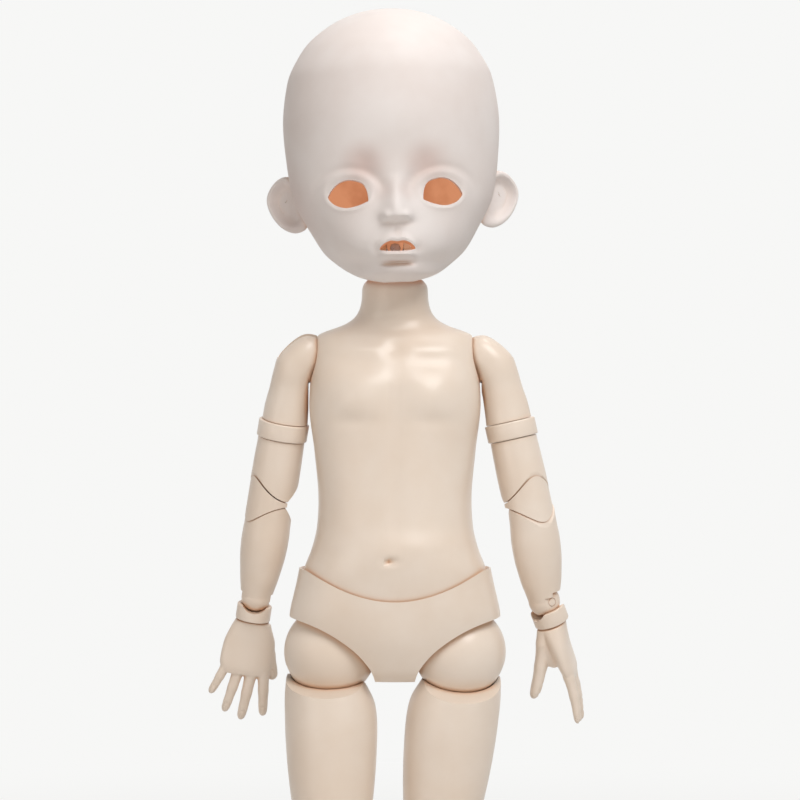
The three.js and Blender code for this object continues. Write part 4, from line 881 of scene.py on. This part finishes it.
def face_relief(x, z):
    """How far the face stands out of the plain skull at x and z."""
    away = np.abs(x)
    out, up = away - EYE.spread, z - EYE.height
    relief = -1.5 * bump(out, -0.6, 8.4) * bump(up, 1.6, 6.6)
    ring = np.hypot(out / 5.1, up / 3.75)
    upper = smoothstep(-1.5, 2.5, up)
    relief += (0.1 + 0.35 * upper) * bump(ring, 1.24, 0.24)
    relief += 0.35 * (1 - upper) * bump(ring, 1.1, 0.12)
    relief -= 0.35 * upper * bump(ring, 1.62, 0.26)
    relief += 0.5 * bump(ring, 0, 1.1)
    for rise, across, wide, height, tall, power in FACE_FORMS:
        relief += rise * bump(away, across, wide, power) * bump(z, height, tall)
    nose = 3.9 * smoothstep(17.5, 7.3, z) * smoothstep(4.3, 6.5, z)
    relief += nose * bump(x, 0, 2.1 + 0.9 * smoothstep(14.5, 7.3, z))
    relief += 1.4 * bump(away, 2.75, 1.2) * bump(z, 6.3, 1.35) * smoothstep(4.1, 5.6, z)
    lip = 0.95 - 0.1 * x * x + 0.4 * (1 - bump(x, 0, 1.2))
    return relief + 0.8 * bump(z, lip, 0.8) * bump(x, 0, 4.4, 4)


def head_rings():
    rings = oval_rings(dense(shares(HEAD_SHARES, HEAD), 210, 5), 240, 0.5)
    depth = -rings[..., 1]
    rings[..., 1] -= face_relief(rings[..., 0], rings[..., 2]) * smoothstep(5, 13, depth)
    return rings


def make_ear(side):
    """An ear: a shell with a raised rim and a bowl, set on edge to the head."""
    edge = loop_through(EAR_EDGE, 72)
    middle = np.array([2.6, 0.6])
    reach = np.array(EAR_REACH_SHARES)
    near = EAR.thick
    bowl = 1.35 * (1 - smoothstep(0.5, 0.8, reach))
    rim = near * 0.55 * np.sqrt(np.maximum(1 - ((reach - 0.86) / 0.14) ** 2, 0))
    backing = near * 0.75 * np.sqrt(np.maximum(1 - reach**2, 0)) + 0.9 * (1 - reach)
    rings = []
    for r, sunk, raised in zip(reach, bowl, rim):
        flat = middle + (edge - middle) * r
        inner = smoothstep(-2.5, 1.5, flat[:, 0])
        rings.append([(a, -0.15 + sunk * share - raised, b) for (a, b), share in zip(flat, inner)])
    for r, f in zip(reach[::-1][1:], backing[::-1][1:]):
        flat = middle + (edge - middle) * r
        rings.append([(a, f, b) for a, b in flat])
    ear = skin(np.array(rings))
    if side < 0:
        turned(ear, Matrix.Scale(-1, 4, X))
        ear.data.flip_normals()
    turned(ear, Matrix.Rotation(side * math.radians(EAR.angle - 18), 4, "Z"))
    turned(ear, Matrix.Translation((side * EAR.root, EAR.back, EAR.height)))
    return ear


def make_head():
    """The skull with its ears and openings, then the face shell and the cap behind it."""
    outer = skin(head_rings())
    dress(outer, (head_vinyl, head_inside))
    joined(outer, *[make_ear(side) for side in (-1, 1)])
    low, high = -HEAD.low, NECK_OPENING.top
    hollow_size = changed(HEAD, low=HEAD.low / 2)
    hollow_rows = dense(shares(HEAD_HOLLOW_SHARES, hollow_size, HEAD_WALL), 48)
    length = low + high + 6
    cutters = [
        skin(oval_rings(hollow_rows, 72), 1),
        rod("z", NECK_OPENING.radius, length, (0, 0, (high - low) / 2), ROUND),
        prism(loop_through(MOUTH_EDGE, 60), "y", -FAR, -HEAD.front / 2, 1),
    ]
    for side in (-1, 1):
        edge = [(side * (EYE.spread + a), EYE.height + b) for a, b in loop_through(EYE_EDGE, 72)]
        cutters.append(prism(edge, "y", -FAR, -HEAD.front / 2))
    less(outer, *cutters)
    cap = copied(outer)
    within(outer, between((-FAR, -FAR, -FAR), (FAR, CAP_PLANE - GAP / 2, FAR)))
    within(cap, between((-FAR, CAP_PLANE + GAP / 2, -FAR), (FAR, FAR, FAR)))
    return outer, cap


# Materials
def linear(*colour):
    """A colour as seen on screen, as the linear values that a shader takes."""
    return tuple(c / 12.92 if c <= 0.04045 else ((c + 0.055) / 1.055) ** 2.4 for c in colour) + (1,)


class Nodes:
    """The node tree of a material or world, filled by short calls."""

    def __init__(self, owner):
        owner.use_nodes = True
        self.owner = owner
        self.tree = owner.node_tree
        self.shader = self.tree.nodes.get("Principled BSDF")

    def add(self, kind, **values):
        node = self.tree.nodes.new(kind)
        for key, value in values.items():
            if key in node.inputs:
                node.inputs[key].default_value = value
            else:
                setattr(node, key, value)
        return node

    def link(self, start, end):
        self.tree.links.new(start, end)

    def coordinates(self):
        return self.add("ShaderNodeTexCoord").outputs["Object"]

    def noise(self, scale, detail=3.0, roughness=0.5):
        node = self.add("ShaderNodeTexNoise", Scale=scale, Detail=detail, Roughness=roughness)
        self.link(self.coordinates(), node.inputs["Vector"])
        return node.outputs["Fac"]

    def ramp(self, source, low, high, start=0.3, end=0.7):
        """Colours or greys from low to high as the source goes from start to end."""
        node = self.add("ShaderNodeValToRGB")
        points = node.color_ramp.elements
        points[0].position, points[1].position = start, end
        points[0].color = low if isinstance(low, tuple) else (low, low, low, 1)
        points[1].color = high if isinstance(high, tuple) else (high, high, high, 1)
        self.link(source, node.inputs["Fac"])
        return node.outputs["Color"]

    def mix(self, share, first, second):
        node = self.add("ShaderNodeMix", data_type="RGBA")
        for value, socket in ((share, 0), (first, 6), (second, 7)):
            if isinstance(value, tuple):
                node.inputs[socket].default_value = value
            else:
                self.link(value, node.inputs[socket])
        return node.outputs[2]

    def combined(self, kind, sources, **values):
        """The output of a node that takes sources in order."""
        node = self.add(kind, **values)
        for source, socket in zip(sources, node.inputs):
            self.link(source, socket)
        return node.outputs[0]

    def fade(self, source, *ends):
        """A smooth fade. Its ends are the low and high of the source, then what they give."""
        node = self.add("ShaderNodeMapRange", interpolation_type="SMOOTHSTEP")
        for socket, value in zip(("From Min", "From Max", "To Min", "To Max"), ends):
            node.inputs[socket].default_value = value
        self.link(source, node.inputs["Value"])
        return node.outputs["Result"]

    def backdrop_rays(self):
        """1 for the rays that show the backdrop: from the camera, through glass and off gloss."""
        rays = self.add("ShaderNodeLightPath").outputs
        pair = (rays["Is Camera Ray"], rays["Is Transmission Ray"])
        seen = self.combined("ShaderNodeMath", pair, operation="MAXIMUM")
        return self.combined("ShaderNodeMath", (seen, rays["Is Glossy Ray"]), operation="MAXIMUM")

    def feed(self, **sources):
        """Links sources to the shader's sockets, or sets plain numbers on them."""
        for word, source in sources.items():
            socket = self.shader.inputs[word.replace("_", " ")]
            if isinstance(source, (float, tuple)):
                socket.default_value = source
            else:
                self.link(source, socket)

    def bump(self, height, distance, strength=1.0):
        node = self.add("ShaderNodeBump", Distance=distance, Strength=strength)
        self.link(height, node.inputs["Height"])
        self.link(node.outputs["Normal"], self.shader.inputs["Normal"])


def new_nodes(name):
    return Nodes(bpy.data.materials.new(name))


def cast_resin(name, base, shade, rough, spread, grain, coat=0.0):
    """Cast doll resin: slight mottling, painted warm shade in folds and seams, uneven gloss and a fine skin
    texture.
    """
    nodes = new_nodes(name)
    mottled = nodes.ramp(nodes.noise(55, 4), 0.0, 1.0, 0.35, 0.65)
    colour = nodes.mix(mottled, base, shade)
    # Painted shade: ambient occlusion turns the colour darker and warmer in creases and between parts
    fold = nodes.add("ShaderNodeAmbientOcclusion", Distance=FOLD_SHADE.reach, samples=6)
    depth = nodes.ramp(fold.outputs["AO"], 1.0, 0.0, 0.35, 0.95)
    warm = tuple(c * f for c, f in zip(shade[:3], FOLD_SHADE.tint)) + (1,)
    share = nodes.add("ShaderNodeMath", operation="MULTIPLY")
    nodes.link(depth, share.inputs[0])
    share.inputs[1].default_value = FOLD_SHADE.share
    nodes.feed(
        Base_Color=nodes.mix(share.outputs[0], colour, warm),
        Roughness=nodes.ramp(nodes.noise(140, 5), rough - spread, rough + spread),
        Specular_IOR_Level=0.5,
        Coat_Weight=coat,
        Coat_Roughness=0.18,
    )
    nodes.bump(nodes.noise(2600, 4), 0.00002, grain)
    return nodes


# Painted shade in folds: how near other surfaces must be, how much of the darker warm tone they give, and
# its tint
FOLD_SHADE = Sizes(reach=0.0016, share=0.75, tint=(0.9, 0.66, 0.48))
CREAM = linear(0.925, 0.868, 0.81)
CREAM_SHADE = linear(0.905, 0.835, 0.765)
PALE = linear(0.915, 0.885, 0.87)
PALE_SHADE = linear(0.89, 0.85, 0.83)

body_resin = cast_resin("body_resin", CREAM, CREAM_SHADE, 0.38, 0.06, 0.35, 0.16).owner
vinyl_nodes = cast_resin("head_vinyl", PALE, PALE_SHADE, 0.62, 0.05, 0.5)
head_vinyl = vinyl_nodes.owner


def add_painted_shade(nodes, centre, reach, share, tone):
    """A soft patch of painted shade about a point: a warmer, darker tone standing in for shade in a hollow.
    """
    base = nodes.shader.inputs["Base Color"]
    away = nodes.add("ShaderNodeVectorMath", operation="DISTANCE")
    away.inputs[1].default_value = centre
    nodes.link(nodes.coordinates(), away.inputs[0])
    amount = nodes.fade(away.outputs["Value"], 0, reach, share, 0)
    nodes.link(nodes.mix(amount, base.links[0].from_socket, tone), base)


def painted_inner_glow():
    """The head's inside, with a painted glow: emission stands in for warm orange light coming through the
    thin shell.
    """
    nodes = new_nodes("head_inside")
    cloudy = nodes.ramp(nodes.noise(90, 3), 0.0, 1.0, 0.4, 0.6)
    nodes.feed(
        Base_Color=nodes.mix(cloudy, linear(0.58, 0.5, 0.44), linear(0.52, 0.43, 0.37)),
        # Painted light: the emission makes the inside glow though it is no lamp
        Emission_Color=nodes.mix(cloudy, linear(0.9, 0.63, 0.47), linear(0.8, 0.52, 0.37)),
        Emission_Strength=0.6,
        Roughness=0.8,
    )
    nodes.bump(nodes.noise(420, 3), 0.0002, 0.4)
    return nodes.owner


head_inside = painted_inner_glow()


def metal():
    nodes = new_nodes("steel")
    brushed = nodes.noise(900, 2)
    tone = nodes.ramp(brushed, linear(0.68, 0.69, 0.7), linear(0.78, 0.78, 0.79))
    nodes.feed(Base_Color=tone, Roughness=nodes.ramp(brushed, 0.24, 0.38), Metallic=1.0)
    nodes.bump(brushed, 0.00003, 0.4)
    return nodes.owner


def moulded_nylon():
    nodes = new_nodes("nylon")
    speck = nodes.noise(1500, 3)
    tone = nodes.ramp(speck, linear(0.88, 0.85, 0.78), linear(0.91, 0.88, 0.82))
    nodes.feed(Base_Color=tone, Roughness=nodes.ramp(speck, 0.45, 0.6))
    nodes.bump(speck, 0.00004, 0.5)
    return nodes.owner


steel = metal()
nylon = moulded_nylon()


# Putting the pieces in place
CREASE = math.radians(34)
CLOSE = 0.012  # points nearer than this are one
TINY = 0.004  # edges shorter than this are dropped


def tidy(obj):
    """Closes the tiny edges that cuts leave and shades the surface smooth up to its creases."""
    mesh = bmesh.new()
    mesh.from_mesh(obj.data)
    bmesh.ops.remove_doubles(mesh, verts=mesh.verts, dist=CLOSE)
    bmesh.ops.dissolve_degenerate(mesh, edges=mesh.edges, dist=TINY)
    mesh.to_mesh(obj.data)
    mesh.free()
    obj.data.shade_smooth()
    obj.data.set_sharp_from_angle(angle=CREASE)


def stand(node, obj, bench, body, look=(body_resin,)):
    """Puts a skin in place of its CAD node, on the node's body."""
    tidy(obj)
    obj.name = node + "_skin"
    obj.data.name = obj.name
    obj.data.transform(bench)
    if look:
        obj.data.materials.clear()
        dress(obj, look)
    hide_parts(node)
    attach(obj, body)
    return obj


hips = (anchor("right_hip_swing") + anchor("left_hip_swing")) / 2
stand("pelvis", make_pelvis(), place(hips, X, Z), "pelvis")

waist = place(anchor("waist_lean"), X, Z)
torso_front, torso_back = make_torso()
stand("torso_front", torso_front, waist, "torso")
stand("torso_back", torso_back, waist, "torso")

turn = math.radians(HEAD_LEAN)
nod = axis("head_nod")
head_across = nod * math.cos(turn) - Z * math.sin(turn)
head_up = Z * math.cos(turn) + nod * math.sin(turn)
head_bench = place(anchor("head_tilt"), head_across, head_up)
# Painted shade on the face: a darker warm tone where the relief and the lamps leave shade
PAINTED_SHADE_TONE = linear(0.74, 0.56, 0.5)
# Place of each soft patch of painted shade, its reach and its share of the tone: the brow hollows, beside
# and under the nose, the lip's crease, and the sides of the head, darker on the doll's right
PAINTED_SHADE_SPOTS = [
    ((-7.5, -24, 19), 7.5, 0.42), ((7.5, -24, 19), 7.5, 0.36), ((-3.6, -26.5, 13), 4.2, 0.2),
    ((3.6, -26.5, 13), 4.2, 0.2), ((0, -29, 3.8), 2.6, 0.25), ((0, -28.5, -5), 3.2, 0.25),
    ((-27, -6, 10), 17, 0.3), ((27, -6, 10), 15, 0.12),
]
for spot, reach, share in PAINTED_SHADE_SPOTS:
    add_painted_shade(vinyl_nodes, head_bench @ Vector(spot), reach * MM, share, PAINTED_SHADE_TONE)
face_shell, head_cap = make_head()
stand("face_shell", face_shell, head_bench, "head", ())
stand("head_cap", head_cap, head_bench, "head_cap", ())

for word, side in (("right", -1), ("left", 1)):
    shoulder = anchor(f"{word}_arm_lift")
    out = -side * axis(f"{word}_arm_lift")
    arm_up = upwards(axis(f"{word}_arm_twist"))
    lift = math.degrees(math.asin((out.cross(arm_up)).dot(Z) * -1))
    upper = place(shoulder, out.cross(arm_up), arm_up)
    elbow = anchor(f"{word}_arm_twist")
    across = -axis(f"{word}_elbow_upper")
    mid = place(elbow, across, arm_up)
    lower_pin, wrist = anchor(f"{word}_elbow_lower"), anchor(f"{word}_wrist_bend")
    reach = (wrist - lower_pin).normalized()
    front, down = ELBOW.pin_front, FOREARM.wrist - ELBOW.pin_rise
    fore_up = (across.cross(reach) * front - reach * down).normalized()
    fore = place(wrist + fore_up * FOREARM.wrist * MM, across, fore_up)
    cuff_up = upwards(axis(f"{word}_hand_turn"))
    cuff = place(wrist, axis(f"{word}_wrist_bend"), cuff_up)
    hand_across = Matrix.Rotation(math.radians(HAND_TURN[word]), 3, cuff_up) @ axis(f"{word}_wrist_bend")
    palm = place(anchor(f"{word}_hand_turn"), hand_across, cuff_up)

    pin_axis = fore.to_3x3().normalized().transposed() @ axis(f"{word}_wrist_bend")
    wrist_turn = math.atan2(pin_axis.y, pin_axis.x)
    hip = anchor(f"{word}_hip_spread")
    swing_back = -side * axis(f"{word}_hip_spread")
    leg_up = upwards(axis(f"{word}_thigh_turn"))
    knee = anchor(f"{word}_thigh_turn")
    knee_bench = place(knee, swing_back.cross(leg_up), leg_up)
    ankle = anchor(f"{word}_foot_tilt")
    hip_bench = place(hip, X, X.cross(swing_back))
    foot_bench = place(ankle, X, Z)

    for name, obj, bench, body in (
        ("upper_arm", make_upper_arm(side, lift), upper, "upper_arm"),
        ("arm_ring", make_ring(), mid, "mid_arm"),
        ("mid_arm", make_mid_arm(), mid, "mid_arm"),
        ("elbow_block", hinge_block(ELBOW, -1), mid, "elbow_block"),
        ("forearm", make_forearm(wrist_turn), fore, "forearm"),
        ("wrist_cuff", make_cuff(), cuff, "wrist_cuff"),
        ("wrist_pin", make_wrist_pin(), cuff, "wrist_cuff"),
        ("hand", make_hand(side), palm, "hand"),
        ("hip_ball", make_hip_ball(side), hip_bench, "hip_ball"),
        ("thigh", make_thigh(side), knee_bench, "thigh"),
        ("knee_block", hinge_block(KNEE, 1), knee_bench, "knee_block"),
        ("shin", make_shin(), knee_bench, "shin"),
        ("ankle_ball", ball(ANKLE.ball, sides=48), foot_bench, "ankle_ball"),
        ("foot", make_foot(side), foot_bench, "foot"),
    ):
        stand(f"{word}_{name}", obj, bench, f"{word}_{body}")

for name, node in frame["nodes"].items():
    if not node.hide_render:
        bright = any(word in name for word in ("pin", "cross", "magnet", "axle", "hip_stem"))
        # The head's socket, seen through the mouth, takes the inside's painted glow
        finish = head_inside if name == "head_socket" else steel if bright else nylon
        node.data.materials.clear()
        node.data.materials.append(finish)


# Stage, light and camera
def soft_lamp(name, spot, size, power, tint):
    lamp = bpy.data.lights.new(name, "AREA")
    lamp.shape = "DISK"
    lamp.size = size
    lamp.energy = power
    lamp.color = tint
    obj = bpy.data.objects.new(name, lamp)
    bpy.context.scene.collection.objects.link(obj)
    obj.location = spot
    obj.rotation_euler = (Vector((0, 0, 0.2)) - Vector(spot)).to_track_quat("-Z", "Y").to_euler()


# Place in metres, size, power and tint of each lamp
soft_lamp("key", (0.28, -0.66, 0.88), 0.6, 6.3, (1, 1, 1))
soft_lamp("fill", (-0.7, -0.7, 0.2), 0.6, 1.25, (1, 0.9, 0.82))
soft_lamp("top", (0.1, 0.1, 1.0), 0.5, 2.4, (1, 1, 1))

BACKGROUND = (0.93, 0.93, 0.92, 1)
SURROUND = Sizes(colour=(1, 0.94, 0.89, 1), strength=0.27)
FLOOR = Sizes(half=1500, colour=(0.78, 0.78, 0.77, 1), roughness=0.9)
FLOOR_FADE = (0.15, 0.75, 0.5, 1)  # from near to far, and the backdrop's share at both

half = FLOOR.half
corners = [(-half, -half, 0), (half, -half, 0), (half, half, 0), (-half, half, 0)]
floor = piece("floor", corners, [(0, 1, 2, 3)])
floor.data.transform(Matrix.Scale(MM, 4))
ground = new_nodes("floor")
ground.feed(Base_Color=FLOOR.colour, Roughness=FLOOR.roughness)
plain = ground.add("ShaderNodeEmission", Color=BACKGROUND, Strength=1.0)
away = ground.add("ShaderNodeVectorMath", operation="LENGTH")
ground.link(ground.coordinates(), away.inputs[0])
far_share = ground.fade(away.outputs["Value"], *FLOOR_FADE)
share = ground.combined("ShaderNodeMath", (ground.backdrop_rays(), far_share), operation="MULTIPLY")
blend = ground.combined("ShaderNodeMixShader", (share, ground.shader.outputs[0], plain.outputs[0]))
ground.link(blend, ground.tree.nodes["Material Output"].inputs["Surface"])
floor.data.materials.append(ground.owner)

world = bpy.data.worlds.new("studio")
bpy.context.scene.world = world
sky = Nodes(world)
surround = sky.tree.nodes["Background"]
surround.inputs["Color"].default_value = SURROUND.colour
surround.inputs["Strength"].default_value = SURROUND.strength
shown = sky.add("ShaderNodeBackground", Color=BACKGROUND)
mixed = sky.combined("ShaderNodeMixShader", (sky.backdrop_rays(), surround.outputs[0], shown.outputs[0]))
sky.link(mixed, sky.tree.nodes["World Output"].inputs["Surface"])

# The photograph spans 200 mm at the doll, whose crown is 9 pixels below its top edge
PHOTO_PIXELS = 800
PIXEL = 0.25
PHOTO_MIDDLE_X = 395
CROWN_ROW = 9
CAMERA_REACH = 600
doll_x, doll_y, _ = anchor("waist_turn")
view_x = doll_x + (PHOTO_PIXELS / 2 - PHOTO_MIDDLE_X) * PIXEL * MM
view_z = cad_high.z - (PHOTO_PIXELS / 2 - CROWN_ROW) * PIXEL * MM
camera = bpy.data.cameras.new("camera")
camera.sensor_width = 36
camera.lens = camera.sensor_width * CAMERA_REACH / (PHOTO_PIXELS * PIXEL)
eye = bpy.data.objects.new("camera", camera)
bpy.context.scene.collection.objects.link(eye)
eye.location = (view_x, doll_y - CAMERA_REACH * MM, view_z)
eye.rotation_euler = (math.pi / 2, 0, 0)
bpy.context.scene.camera = eye
bpy.context.scene.view_settings.view_transform = "Standard"
